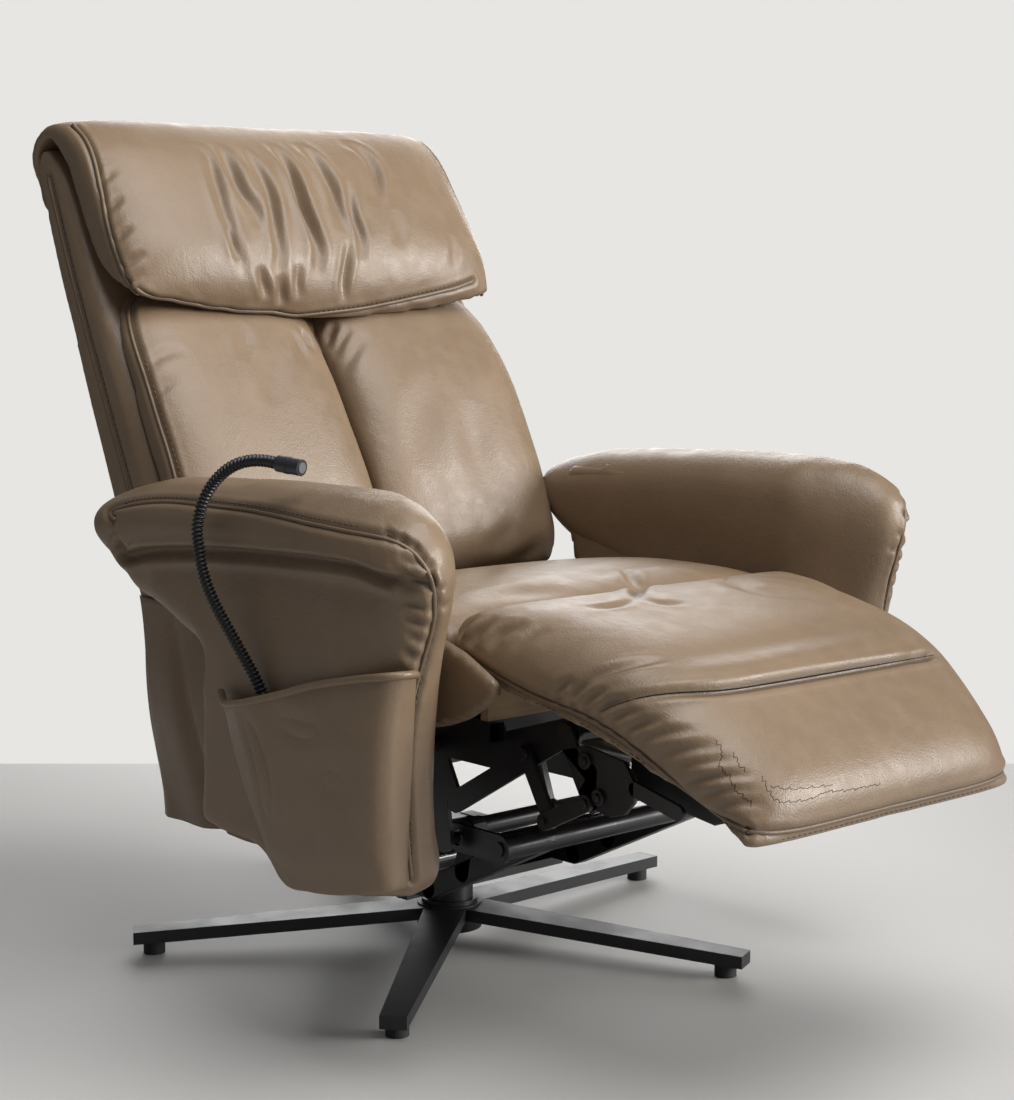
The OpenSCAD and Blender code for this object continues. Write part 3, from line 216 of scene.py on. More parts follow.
def tube_rings(points, radii, sides):
    """Rings of points round a line, without twist."""
    p = np.array(points, float)
    way = np.gradient(p, axis=0)
    way /= np.linalg.norm(way, axis=1)[:, None]
    side = np.cross(way[0], (0.31, 0.22, 0.92))
    rings = []
    angle = np.arange(sides) * math.tau / sides
    for spot, along, r in zip(p, way, np.broadcast_to(radii, len(p))):
        side = side - along * (side @ along)
        side /= np.linalg.norm(side)
        up = np.cross(along, side)
        rings.append(spot + r * (np.cos(angle)[:, None] * side + np.sin(angle)[:, None] * up))
    return rings


def tube_faces(count, sides, start=0):
    faces = []
    for i in range(count - 1):
        for j in range(sides):
            k = (j + 1) % sides
            a = start + i * sides
            faces.append((a + j, a + k, a + sides + k, a + sides + j))
    faces.append([start + j for j in range(sides)][::-1])
    faces.append([start + (count - 1) * sides + j for j in range(sides)])
    return faces


def tube(name, lines, sides=8, material=None):
    """One mesh of closed tubes; each line is (points, radius or radii)."""
    points, faces = [], []
    for line, radii in lines:
        rings = tube_rings(line, radii, sides)
        faces += tube_faces(len(rings), sides, len(points))
        points += [p for ring in rings for p in ring]
    return solid(name, points, faces, material)


neck_line = spline(np.array(neck_mm) * MM + AT, ribs * 6 + 1)
wave = 0.5 - 0.5 * np.cos(np.linspace(0, ribs * math.tau, len(neck_line)))
neck = tube("gooseneck", [(neck_line, 0.0042 + 0.0024 * wave**0.7)], 20)
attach(neck, "chassis")
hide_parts("gooseneck_hose")

# %% [markdown]
# ## Writing shaders as sums
# A material is a graph of nodes, and long graphs are hard to read as calls. One small class wraps a
# socket, so that plus and times make the maths nodes. Every other node comes from one method
# that takes its type, its settings and its inputs.

# %% Writing shaders as sums


def feed(slot, value):
    if isinstance(value, Wire):
        slot.id_data.links.new(value.socket, slot)
    else:
        slot.default_value = value


class Wire:
    """An output socket that can be added and multiplied."""

    def __init__(self, socket):
        self.socket = socket

    def maths(self, kind, other):
        node = self.socket.id_data.nodes.new("ShaderNodeMath")
        node.operation = kind
        feed(node.inputs[0], self)
        feed(node.inputs[1], other)
        return Wire(node.outputs[0])

    def __add__(self, other):
        return self.maths("ADD", other)

    def __mul__(self, other):
        return self.maths("MULTIPLY", other)

    __radd__ = __add__
    __rmul__ = __mul__


class Paint:
    """A material under construction, with its principled shader."""

    def __init__(self, name, **values):
        self.material = bpy.data.materials.new(name)
        self.material.use_nodes = True
        self.nodes = self.material.node_tree.nodes
        self.shader = next(n for n in self.nodes if n.type == "BSDF_PRINCIPLED")
        for slot, value in values.items():
            self.set(slot.replace("_", " "), value)

    def set(self, slot, value):
        feed(self.shader.inputs[slot], value)

    def add(self, kind, settings=(), inputs=(), out=0):
        node = self.nodes.new("ShaderNode" + kind)
        for key, value in dict(settings).items():
            setattr(node, key, value)
        for key, value in dict(inputs).items():
            feed(node.inputs[key], value)
        return Wire(node.outputs[out])

    def place(self):
        return self.add("TexCoord", out="Object")

    def noise(self, scale, detail=3.0, where=None, rough=0.5, distort=0.0):
        return self.add("TexNoise", {},
                        {"Scale": scale, "Detail": detail, "Roughness": rough, "Distortion": distort,
                         "Vector": where or self.place()}, "Fac")

    def ramp(self, value, low, high):
        return self.add("MapRange", {"interpolation_type": "SMOOTHSTEP"},
                        {"Value": value, "From Min": low, "From Max": high})

    def blend(self, share, first, second, kind="MIX"):
        return self.add("Mix", {"data_type": "RGBA", "blend_type": kind},
                        {"Factor": share, 6: first, 7: second}, 2)

    def mark(self, name):
        return self.add("Attribute", {"attribute_name": name}, out="Fac")

    def bump(self, height, depth, strength=1.0, under=None):
        inputs = {"Height": height, "Distance": depth, "Strength": strength}
        if under:
            inputs["Normal"] = under
        return self.add("Bump", {}, inputs)


print("kit: shaders")

# %% [markdown]
# ## Leather
# Corrected-grain hide is dyed right through and sealed with a thin satin film. Three things make it
# read as leather: a pebbled grain a millimetre or two across, soft creases that follow the stuffing,
# and a colour that is paler where it is rubbed. The grain is cells of one texture over the noise of
# another; the creases are the mesh's own. A mark that the folding tool leaves on each vertex darkens
# the colour in the creases and seams: that darkening is painted shade.

# %% Leather


def leather(name, tone, shade_tone, shine=0.36):
    p = Paint(name)
    where = p.place()
    groove_shade = p.mark("groove_shade")
    cloud = p.noise(5.0, 4.0, where, 0.6)
    fleck = p.noise(38.0, 3.0, where, 0.55)
    colour = p.blend(p.ramp(cloud, 0.3, 0.72), (*tone, 1), (*[c * 0.86 for c in tone], 1))
    colour = p.blend(p.ramp(fleck, 0.35, 0.8) * 0.35, colour, (*[c * 1.12 for c in tone], 1))
    # Painted shade: the mark left by press darkens the colour towards the shade tone in creases and seams.
    colour = p.blend(p.ramp(groove_shade, 0.1, 1.0) * 0.8, colour, (*shade_tone, 1))
    stretch = p.add("Mapping", {}, {"Vector": where, "Scale": (1.0, 0.45, 0.45)})
    soft = p.noise(20.0, 3.0, stretch, 0.55, 0.5)
    fine = p.noise(120.0, 3.0, where, 0.55, 0.3)
    cells = p.add("TexVoronoi", {"feature": "SMOOTH_F1"},
                  {"Scale": 520.0, "Vector": where, "Smoothness": 0.4}, "Distance")
    pores = p.noise(900.0, 2.0, where)
    height = p.bump(soft, 0.0016, 0.5)
    height = p.bump(fine, 0.0008, 0.4, height)
    height = p.bump(cells * 0.7 + pores * 0.3, 0.0004, 0.6, height)
    p.set("Base Color", colour)
    p.set("Roughness", shine + 0.1 * p.ramp(fleck, 0.3, 0.7))
    p.set("Normal", height)
    p.set("Specular IOR Level", 0.5)
    return p.material


TAUPE = (0.215, 0.148, 0.092)
# The dark tone of the painted shade in creases and seams.
GROOVE_SHADE_TONE = (0.06, 0.038, 0.022)
hide = leather("leather", TAUPE, GROOVE_SHADE_TONE)
hide_dark = leather("leather_edge", tuple(c * 0.82 for c in TAUPE), GROOVE_SHADE_TONE, 0.4)
thread = Paint("thread", Base_Color=(0.13, 0.095, 0.065, 1), Roughness=0.7).material
# Dark paint for the leg pad's cracks, and for a cord laid in its crease as painted shade.
crack_and_shade_paint = Paint("worn_crack_and_crease_shade", Base_Color=(0.032, 0.021, 0.013, 1), Roughness=0.9,
                    Specular_IOR_Level=0.05).material
print("leather:", hide.name, hide_dark.name)

# %% [markdown]
# ## Pads
# A cushion is two sheets of hide sewn together round a block of foam. Seen from the side it has an
# outer and an inner curve; across its width it is full in the middle and falls off towards the
# seams. `pad` builds that closed skin: stations run along both curves, and at each one the outer
# sheet rises from the seam height on the left, over the crown, to the seam height on the right.

# %% Pads


def spread(values, steps):
    """One value or a list of them, as steps values at even distances."""
    values = np.atleast_1d(np.array(values, float))
    return np.interp(np.linspace(0, 1, steps), np.linspace(0, 1, len(values)), values)


def pad(name, outer, inner, left, right, edge=0.4, power=3.0, steps=56, across=60, rear=1.0, shift=None):
    """A closed cushion. outer and inner are (y, z) curves and left and right x, in mm.
    edge is the share of the thickness left at the seams, for both or as (left, right), and power how
    square the cushion is across; both may be lists that run along it. rear is how far the inner
    sheet reaches into the corners, and shift moves points by where they are along and across."""
    top, low = spline(outer, steps), spline(inner, steps)
    x0, x1 = spread(left, steps)[:, None], spread(right, steps)[:, None]
    edges = edge if isinstance(edge, tuple) else (edge, edge)
    e0, e1 = spread(edges[0], steps)[:, None], spread(edges[1], steps)[:, None]
    u = np.sin(np.linspace(-math.pi / 2, math.pi / 2, across))[None, :]
    rise = np.sqrt(1 - np.abs(u) ** spread(power, steps)[:, None])
    share = np.where(u < 0, e0 + (1 - e0) * rise, e1 + (1 - e1) * rise)
    x = x0 + (x1 - x0) * (u + 1) / 2
    upper = [low[:, k][:, None] + (top[:, k] - low[:, k])[:, None] * share for k in (0, 1)]
    tuck = (1 - rear) * (1 - np.sqrt(1 - np.abs(u) ** 8))
    under = [low[:, k][:, None] + (top[:, k] - low[:, k])[:, None] * tuck for k in (0, 1)]
    if shift:
        s = np.linspace(0, 1, steps)[:, None]
        dy, dz = shift(s, u)
        upper, under = ([a[0] + dy, a[1] + dz] for a in (upper, under))
    sheets = [np.stack([x, a[0], a[1]], 2) for a in (upper, under)]
    points = np.concatenate([s.reshape(-1, 3) for s in sheets]) * MM + AT
    one = steps * across
    faces = []
    for i in range(steps - 1):
        for j in range(across - 1):
            a = i * across + j
            faces.append((a, a + 1, a + across + 1, a + across))
            faces.append((one + a, one + a + across, one + a + across + 1, one + a + 1))
        for a in (i * across, i * across + across - 1):
            faces.append((a, a + across, one + a + across, one + a))
    for i in (0, steps - 1):
        for j in range(across - 1):
            a = i * across + j
            faces.append((a, a + 1, one + a + 1, one + a))
    return solid(name, points, faces, hide)


print("kit: pads")

# %% [markdown]
# ## Stuffing the pads
# Foam and wadding push the hide outwards, and it wrinkles where it is held. That is what cloth
# simulation with air pressure does: the skin is remeshed to even faces, blown up without gravity for
# a few frames, and kept from moving further than a real cushion would.

# %% Stuffing the pads


def stuff(obj, cell=0.006, limit=0.024, pressure=4.0, frames=12, share=0.5, smooth=2):
    """Evens out the mesh and inflates it by a short cloth simulation. Of the movement a share is
    kept, and no more than limit; without pressure the piece is only evened out."""
    remesh = obj.modifiers.new("even", "REMESH")
    remesh.mode = "VOXEL"
    remesh.voxel_size = cell
    remesh.use_smooth_shade = True
    settle_modifiers(obj)
    relax(obj, smooth)
    moved = 0.0
    if pressure:
        rest = points_of(obj)
        cloth = obj.modifiers.new("hide", "CLOTH")
        it = cloth.settings
        it.quality = 5
        it.mass = 0.4
        it.tension_stiffness = it.compression_stiffness = 18
        it.shear_stiffness = 8
        it.bending_stiffness = 1.2
        it.use_pressure = True
        it.uniform_pressure_force = pressure
        it.effector_weights.gravity = 0
        cloth.point_cache.frame_start = 1
        cloth.point_cache.frame_end = frames
        cloth.collision_settings.use_collision = False
        for step in range(1, frames + 1):
            scene.frame_set(step)
        settle_modifiers(obj)
        scene.frame_set(1)
        way = points_of(obj) - rest
        way -= way.mean(0)
        far = np.linalg.norm(way, axis=1)[:, None]
        way *= share * np.minimum(1, limit / np.maximum(far, 1e-9))
        moved = float(np.linalg.norm(way, axis=1).mean())
        put_points(obj, rest + way)
        relax(obj, 1)
    obj.modifiers.new("fine", "SUBSURF").levels = 1
    settle_modifiers(obj)
    obj.data.polygons.foreach_set("use_smooth", [True] * len(obj.data.polygons))
    print(f"{obj.name}: {len(obj.data.vertices)} vertices, moved {moved * 1000:.1f} mm on average")
    return obj


# %% [markdown]
# ## Folds, seams and stitches
# Lines are drawn on the finished cushion: either as spots in the picture, followed along the line of
# sight to the hide, or as points near it. `press` sinks each line into the mesh, with a small swell on
# both sides, as leather does when it is pulled in. A piped seam is a thin tube laid in such a
# groove, and a stitch is a short bead of thread.

# %% Folds, seams and stitches


def skin(obj):
    """The piece's faces as a tree in which lines of sight find what they hit."""
    corners = [tuple(face.vertices) for face in obj.data.polygons]
    return BVHTree.FromPolygons([tuple(p) for p in points_of(obj)], corners)


def trace(obj, spots, steps=0):
    """Follows spots of the picture to the piece. A line of sight that misses takes its nearest point."""
    tree = skin(obj)
    spots = spline(spots, steps or max(8, int(length_of(spots) / 6)))
    found = []
    depth = 2.4
    for spot in spots:
        way = sight(spot)
        hit = tree.ray_cast(eye, way)
        if hit[0] is None:
            hit = tree.find_nearest(eye + way * depth)
        found.append(np.array(hit[0]))
        depth = (hit[0] - eye).length
    return np.array(found)


def snap(obj, points, lift=0.0, smooth=6):
    """The points moved to the piece's skin, and off it by lift, as an even line."""
    tree = skin(obj)
    found = []
    for point in points:
        spot, normal = tree.find_nearest(Vector(point))[:2]
        found.append(np.array(spot + normal * lift))
    found = np.array(found)
    for _ in range(smooth):
        found[1:-1] = (found[:-2] + 2 * found[1:-1] + found[2:]) / 4
    return found


def press(obj, lines, mark=1.0):
    """Sinks lines into the piece. Each is (points, depth, width) and may add how its ends fade: True
    for both, False for neither, or the share of the line over which its start does."""
    co, no = points_of(obj), normals_of(obj)
    depth_all = np.zeros(len(co))
    groove_shade = np.zeros(len(co))
    kept = obj.data.attributes.get("groove_shade")
    if kept:
        kept.data.foreach_get("value", groove_shade)
    for line in lines:
        points, depth, width = line[:3]
        fade = line[3] if len(line) > 3 else True
        p = spline(points, max(6, int(length_of(points) / 0.006)))
        near = np.all((co > p.min(0) - 4 * width) & (co < p.max(0) + 4 * width), axis=1).nonzero()[0]
        if not len(near):
            continue
        best = np.full(len(near), 9.0)
        run = np.zeros(len(near))
        for i in range(len(p) - 1):
            way = p[i + 1] - p[i]
            t = np.clip(((co[near] - p[i]) @ way) / max(way @ way, 1e-12), 0, 1)
            far = np.linalg.norm(co[near] - p[i] - t[:, None] * way, axis=1)
            closer = far < best
            best[closer] = far[closer]
            run[closer] = (i + t[closer]) / (len(p) - 1)
        ends = run / max(fade, 1e-6)
        if fade:
            ends = np.minimum(ends, (1 - run) / 0.05)
        taper = np.sin(math.pi * np.clip(run, 0, 1)) ** 1.1 if fade is True else np.clip(ends, 0, 1)
        sink = np.exp(-(best**2) / (2 * width**2)) * taper
        swell = np.exp(-((best - 2.2 * width) ** 2) / (2 * (0.8 * width) ** 2)) * taper
        depth_all[near] = depth_all[near] - depth * sink + 0.28 * depth * swell
        # Painted shade: how dark the leather is painted in the groove, read by the leather's colour.
        if mark > 0:
            groove_shade[near] = np.maximum(groove_shade[near], mark * sink * min(1.0, depth / (0.9 * width)))
    put_points(obj, co + no * depth_all[:, None])
    attribute = kept or obj.data.attributes.new("groove_shade", "FLOAT", "POINT")
    attribute.data.foreach_set("value", groove_shade.astype(np.float32))
    return obj


def piped(obj, lines, radius=0.0024, lift=0.0005):
    """A piped seam: tubes laid on the piece along the lines, as one mesh that moves with it."""
    laid = [snap(obj, spline(p, max(8, int(length_of(p) / 0.005))), lift) for p in lines]
    return tube(f"{obj.name}_piping", [(p, radius) for p in laid], 8, hide_dark)


def stitched(obj, lines, gap=0.0075, size=0.0046, radius=0.0006):
    """Rows of thread along the lines, as one mesh."""
    beads = []
    for points in lines:
        p = snap(obj, spline(points, max(4, int(length_of(points) / gap))), radius * 0.4)
        for a, b in zip(p[:-1], p[1:]):
            way = (b - a) / max(np.linalg.norm(b - a), 1e-9)
            middle = (a + b) / 2
            beads.append(([middle - way * size / 2, middle + way * size / 2], radius))
    return tube(f"{obj.name}_stitches", beads, 5, thread)


def beside(points, off, up=(0, 0, 1)):
    """The line moved sideways by off, across its own run and the given direction."""
    p = np.array(points, float)
    way = np.gradient(p, axis=0)
    side = np.cross(way, np.array(up, float))
    side /= np.maximum(np.linalg.norm(side, axis=1), 1e-9)[:, None]
    return p + side * off


def dress(obj, body, slot="leather_taupe", fill=0.8, *parts):
    """The piece and what is sewn to it ride the body."""
    for each in (obj, *parts):
        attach(each, body)


print("kit: folds and seams")

# %% [markdown]
# ## Head pillow
# The headrest is a flap of foam folded over a hinge bar at the top of the back, like a saddle bag
# over a rail. From the side it is an upside-down U. The hide is gathered at the middle of the top, so
# deep folds fan out over the face and fade towards the piped lower edge. It turns with the headrest.

# %% Head pillow


def droop(s, u):
    """How the pillow's crest and its lower edge rise towards the ends."""
    low = np.clip((s - 0.55) / 0.45, 0, 1) ** 2
    crest = np.exp(-(((s - 0.38) / 0.15) ** 2))
    return np.zeros_like(s * u), low * (31 * u**2 - 4) + crest * (7 * u**2 + 4 * u)


pillow = pad("pillow",
             [(455, 888), (469, 925), (477, 952), (476, 972), (460, 992), (425, 1007), (380, 1004),
              (336, 979), (300, 940), (266, 892), (242, 847), (235, 805), (238, 770), (248, 754)],
             [(443, 888), (454, 925), (461, 948), (459, 964), (448, 976), (430, 980), (408, 964),
              (388, 939), (366, 902), (345, 864), (325, 830), (300, 800), (274, 778), (256, 766)],
             [-280, -291, -292, -292, -292, -290, -284], [280, 291, 292, 292, 292, 290, 284],
             edge=[1.0, 0.8, 0.5, 0.5, 0.5, 0.5, 0.5, 0.5], power=4.5, steps=64, shift=droop)
stuff(pillow, 0.006, 0.022, 3.5, share=0.45)
pillow_folds = [
    ([(190, 142), (207, 156), (215, 179), (224, 208), (233, 234), (241, 259), (244, 280)], 0.006, 0.006),
    ([(216, 143), (230, 165), (241, 188), (253, 208), (260, 230)], 0.010, 0.007),
    ([(241, 146), (259, 170), (270, 191), (275, 214), (278, 236), (280, 256), (275, 278)], 0.010, 0.006),
    ([(267, 142), (285, 160), (296, 182), (304, 205), (313, 228), (319, 250), (316, 278)], 0.014, 0.006),
    ([(294, 142), (314, 158), (330, 182), (338, 205), (342, 232)], 0.010, 0.007),
    ([(346, 180), (353, 211), (361, 236), (361, 262)], 0.008, 0.005),
    ([(350, 240), (347, 265), (344, 284), (344, 303)], 0.007, 0.005),
    ([(281, 272), (282, 290), (281, 306)], 0.006, 0.005),
    ([(259, 264), (264, 284), (268, 300)], 0.005, 0.005),
    ([(300, 262), (298, 284), (300, 300)], 0.004, 0.005),
    ([(337, 142), (358, 149), (372, 164), (377, 184), (374, 206)], 0.007, 0.007),
    ([(396, 208), (399, 228), (398, 248)], 0.003, 0.008),
    ([(228, 226), (234, 244), (238, 262)], 0.004, 0.004),
    ([(452, 234), (455, 250), (452, 270)], 0.002, 0.006),
    ([(102, 218), (112, 206), (124, 196)], 0.003, 0.004),
    ([(110, 246), (121, 235), (134, 226)], 0.003, 0.004),
    ([(119, 270), (132, 260), (147, 252)], 0.003, 0.004),
    ([(124, 288), (134, 278), (146, 270)], 0.003, 0.004),
    ([(96, 190), (106, 178), (118, 168)], 0.002, 0.004),
]
press(pillow, [(trace(pillow, spots), depth, width) for spots, depth, width in pillow_folds], 0.35)
near_rim = [(73, 125), (84, 136), (93, 156), (101, 191), (107, 225), (117, 259), (129, 286), (140, 300)]
near_rim = trace(pillow, near_rim, 80)
pillow_seams = [near_rim, (near_rim - AT) * (-1, 1, 1) + AT]
lip_spots = [(141, 301), (173, 306), (230, 315), (287, 317), (340, 312), (373, 307), (420, 297), (453, 289),
             (474, 281)]
lip = trace(pillow, lip_spots, 110)
pillow_seams.append(lip)
press(pillow, [(snap(pillow, p), 0.003, 0.0035, False) for p in pillow_seams], 0.8)
pillow_piping = piped(pillow, pillow_seams, 0.0028, 0.001)
pillow_thread = stitched(pillow, [beside(lip, 0.007, (0, 1, 0))])
dress(pillow, "headrest", "leather_taupe", 0.85, pillow_piping, pillow_thread)
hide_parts("head_pillow")
print("pillow:", len(pillow_folds), "folds and", len(pillow_seams), "piped seams")

# %% [markdown]
# ## Backrest
# Behind the two front panels the back is one upholstered shell with a boxed side, 45 mm of which
# shows as a band with a double seam. The panels are separate pillows: they meet in a deep seam down
# the middle, where the hide is drawn in and puckers at the top, and their outer corners are round.

# %% Backrest
shell = pad("back_cover",
            [(104, 386), (108, 404), (148, 496), (182, 570), (228, 660), (276, 746), (310, 794), (352, 870),
             (390, 930), (416, 958), (436, 970)],
            [(242, 412), (249, 430), (274, 500), (300, 570), (339, 660), (376, 746), (398, 794), (431, 870),
             (455, 925), (461, 945), (450, 966)],
            [-290, -298, -300, -300, -299, -297, -293, -290], [290, 298, 300, 300, 299, 297, 293, 290],
            edge=0.72, power=14.0, rear=0.86, across=70)
stuff(shell, 0.006, pressure=0)
halves = {}
for name, side in (("right", -1), ("left", 1)):
    outline = [280, 285, 288, 290, 291, 292, 292, 292, 292, 292, 291, 290, 288, 284, 275, 256, 222]
    inner_x = [3, 2, 2, 2, 2, 2, 3, 6, 12]
    left, right = ([-x for x in outline], [-x for x in inner_x]) if side < 0 else (inner_x, outline)
    seam_edge, rim_edge = [0.62, 0.6, 0.5, 0.34, 0.2, 0.14, 0.1], [0.4, 0.4, 0.42, 0.42, 0.4, 0.34, 0.3]
    halves[name] = pad(f"back_{name}",
                       [(110, 432), (101, 452), (98, 478), (109, 512), (136, 582), (183, 674), (229, 737),
                        (258, 768), (286, 790), (314, 802)],
                       [(131, 432), (136, 452), (146, 478), (160, 512), (196, 582), (245, 674), (284, 737),
                        (308, 772), (322, 792), (330, 806)],
                       left, right, edge=(rim_edge, seam_edge) if side < 0 else (seam_edge, rim_edge),
                       power=4.0, steps=70)
    stuff(halves[name], 0.0055, 0.026, 5.0, share=0.3)
print("backrest:", len(halves), "panels on a shell")

# %% [markdown]
# ## Seams and folds of the backrest
# Each panel has a piped rim with a row of stitches inside it, and the hide puckers where the two
# meet under the pillow. The shell's boxed side carries a double seam on both sides.

# %% Seams and folds of the backrest
near, far = halves["right"], halves["left"]
press(near, [(trace(near, spots), depth, width) for spots, depth, width in [
    ([(300, 326), (308, 340), (314, 352)], 0.007, 0.005),
    ([(292, 330), (300, 346), (306, 364)], 0.004, 0.006),
    ([(243, 322), (246, 342), (244, 362)], 0.003, 0.008),
    ([(280, 345), (274, 372), (262, 402)], 0.003, 0.012),
    ([(140, 372), (160, 356), (186, 348)], 0.002, 0.006),
    ([(150, 400), (166, 384), (180, 376)], 0.002, 0.006),
]], 0.5)
press(far, [(trace(far, spots), depth, width) for spots, depth, width in [
    ([(338, 322), (330, 336), (326, 352)], 0.007, 0.005),
    ([(352, 324), (340, 342), (334, 362)], 0.005, 0.006),
    ([(366, 332), (352, 352), (342, 378)], 0.003, 0.007),
    ([(430, 372), (420, 420), (424, 470)], 0.003, 0.018),
    ([(470, 400), (478, 450), (492, 500)], 0.003, 0.018),
    ([(520, 520), (500, 540), (486, 552)], 0.003, 0.01),
    ([(548, 540), (520, 560), (496, 570)], 0.003, 0.01),
]], 0.4)
for name, side in (("right", -1), ("left", 1)):
    half = halves[name]
    rim = np.array([(side * x, y, z) for x, y, z in [
        (287, 120, 452), (290, 122, 490), (292, 136, 530), (292, 156, 582), (292, 198, 660),
        (290, 236, 720), (284, 262, 755), (270, 286, 780), (240, 302, 794), (190, 308, 800),
        (110, 310, 802)]]) * MM + AT
    rim = snap(half, spline(rim, 90))
    inside = snap(half, beside(rim, -0.009 * side, (0, -1, 0.4)))
    press(half, [(rim, 0.003, 0.004, False), (inside, 0.0014, 0.003, False)], 0.7)
    half_piping = piped(half, [rim], 0.0023)
    half_thread = stitched(half, [inside])
    dress(half, "backrest", "leather_taupe", 0.85, half_piping, half_thread)
    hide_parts(f"back_cushion_{name}")
cover_lines = []
for side in (-1, 1):
    band = np.array([(side * 299, y, z) for y, z in [
        (199, 470), (214, 500), (242, 560), (286, 650), (330, 738), (372, 820), (412, 900),
        (428, 935)]]) * MM + AT
    cover_lines += [snap(shell, spline(band, 90)),
                    snap(shell, spline(band - np.array((0, 0.008, -0.002)), 90))]
press(shell, [(line, 0.0022, 0.003, False) for line in cover_lines], 0.8)
shell_piping = piped(shell, cover_lines[::2], 0.0018, 0.0)
shell_thread = stitched(shell, cover_lines[1::2])
dress(shell, "backrest", "leather_taupe", 0.9, shell_piping, shell_thread)
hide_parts("back_shell")
print("backrest: seams and folds laid")

# %% [markdown]
# ## Seat
# The seat is a plain foam block under hide, low at the rear and crowned at the front. Only its top
# shows between the arms. It is held by the chassis.

# %% Seat
seat = pad("seat",
           [(-310, 424), (-310, 442), (-292, 460), (-250, 468), (-150, 467), (-50, 457), (40, 440),
            (84, 424)],
           [(-308, 400), (-304, 362), (-284, 353), (-240, 353), (-150, 353), (-50, 353), (40, 353),
            (80, 362)],
           [-262], [262], edge=0.84, power=4.0, steps=60)
stuff(seat, 0.007, 0.014, 3.0)
press(seat, [(trace(seat, spots), depth, width) for spots, depth, width in [
    ([(470, 600), (520, 592), (580, 590)], 0.003, 0.012),
    ([(560, 578), (620, 566), (680, 560)], 0.003, 0.014),
    ([(470, 585), (500, 560), (540, 545)], 0.002, 0.012),
    ([(640, 590), (632, 578), (628, 568)], 0.005, 0.006),
]], 0.3)
dress(seat, "chassis", "leather_taupe", 0.8)
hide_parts("seat_cushion")
print("seat:", len(seat.data.vertices), "vertices")

# %% [markdown]
# ## Leg pad
# One long pad runs from the seat over the knee and down the footrest, so that the legs never cross a
# gap. It bends where the footrest turns, and it rides no body: its transform is baked where it stands.
# Its sides are boxed with a strip between two seams, a crease crosses it below the knee, and a tuft
# pins its rear edge.

# %% Leg pad
legs = pad("leg_pad",
           [(-311, 434), (-312, 452), (-322, 465), (-346, 470), (-388, 469), (-430, 463), (-471, 456),
            (-510, 448), (-546, 436), (-581, 418), (-614, 392), (-645, 366), (-674, 337), (-688, 308),
            (-686, 286), (-677, 272)],
           [(-316, 412), (-326, 407), (-338, 403), (-352, 400), (-396, 389), (-425, 384), (-453, 379),
            (-502, 366), (-545, 349), (-578, 332), (-603, 318), (-628, 302), (-648, 288), (-660, 280),
            (-668, 275), (-672, 272)],
           [-258, -258, -258, -257, -254, -249, -242, -233, -220, -208, -202],
           [258, 258, 258, 257, 254, 249, 242, 233, 220, 208, 202],
           edge=[0.75, 0.3, 0.2, 0.2, 0.2, 0.2, 0.2], power=[24, 12, 8, 6.5, 6, 6, 6, 6], steps=88,
           across=90)
stuff(legs, 0.006, 0.022, 4.0, share=0.3)
leg_folds = [
    ([(642, 584), (637, 592), (640, 601)], 0.008, 0.006),
    ([(638, 598), (616, 605), (584, 608)], 0.004, 0.005),
    ([(642, 598), (664, 603), (690, 602)], 0.003, 0.006),
    ([(673, 660), (639, 663), (611, 670), (586, 681), (567, 697)], 0.005, 0.005),
    ([(456, 640), (466, 624), (480, 614)], 0.006, 0.004),
    ([(466, 647), (481, 628), (498, 617)], 0.006, 0.005),
    ([(486, 650), (501, 632), (529, 622)], 0.005, 0.006),
    ([(510, 654), (524, 638), (552, 627)], 0.003, 0.007),
    ([(552, 701), (561, 687), (577, 678)], 0.004, 0.004),
    ([(566, 706), (578, 690), (592, 682)], 0.004, 0.004),
    ([(579, 712), (592, 697), (610, 690)], 0.004, 0.004),
    ([(591, 718), (610, 704), (632, 700)], 0.004, 0.004),
    ([(604, 726), (624, 714), (645, 710)], 0.004, 0.004),
    ([(618, 736), (644, 724), (668, 720)], 0.004, 0.004),
    ([(632, 745), (664, 733), (700, 730)], 0.003, 0.004),
    ([(650, 760), (690, 749), (724, 746)], 0.004, 0.005),
    ([(664, 771), (704, 762), (738, 760)], 0.003, 0.004),
    ([(680, 784), (724, 776), (756, 776)], 0.004, 0.004),
    ([(695, 798), (734, 790), (764, 792)], 0.003, 0.004),
    ([(708, 810), (742, 802), (770, 806)], 0.003, 0.004),
    ([(720, 575), (760, 590), (820, 596)], 0.004, 0.014),
    ([(860, 600), (900, 640), (930, 660)], 0.003, 0.012),
]
leg_crease = [(588, 718), (611, 707), (639, 698), (673, 693), (725, 690), (778, 682), (847, 670),
              (917, 658), (948, 652)]
above_crease = [(600, 694), (640, 684), (690, 678), (750, 670), (820, 656), (890, 644), (935, 640)]
leg_cracks = [
    [(716, 740), (722, 752), (720, 766), (729, 776), (736, 790), (748, 800), (752, 806)],
    [(733, 752), (739, 764), (746, 772)],
    [(762, 776), (768, 790), (776, 800), (786, 802), (810, 799), (826, 792), (848, 790), (880, 784)],
    [(770, 786), (790, 789), (815, 787), (832, 785)],
]
press(legs, [(trace(legs, above_crease), -0.006, 0.015), (trace(legs, leg_crease), 0.006, 0.0042, 0.25)],
      0.9)
press(legs, [(trace(legs, spots), depth, width) for spots, depth, width in leg_folds], 0.5)
near_piping = [(455, 650), (482, 669), (517, 689), (545, 702), (576, 714), (604, 729), (632, 749),
               (659, 771), (687, 795), (718, 818), (746, 831)]
one_side = trace(legs, near_piping, 110)
other_side = (one_side - AT) * (-1, 1, 1) + AT
left_end, right_end = one_side[-1], other_side[-1]
share = np.linspace(0, 1, 60)[:, None]
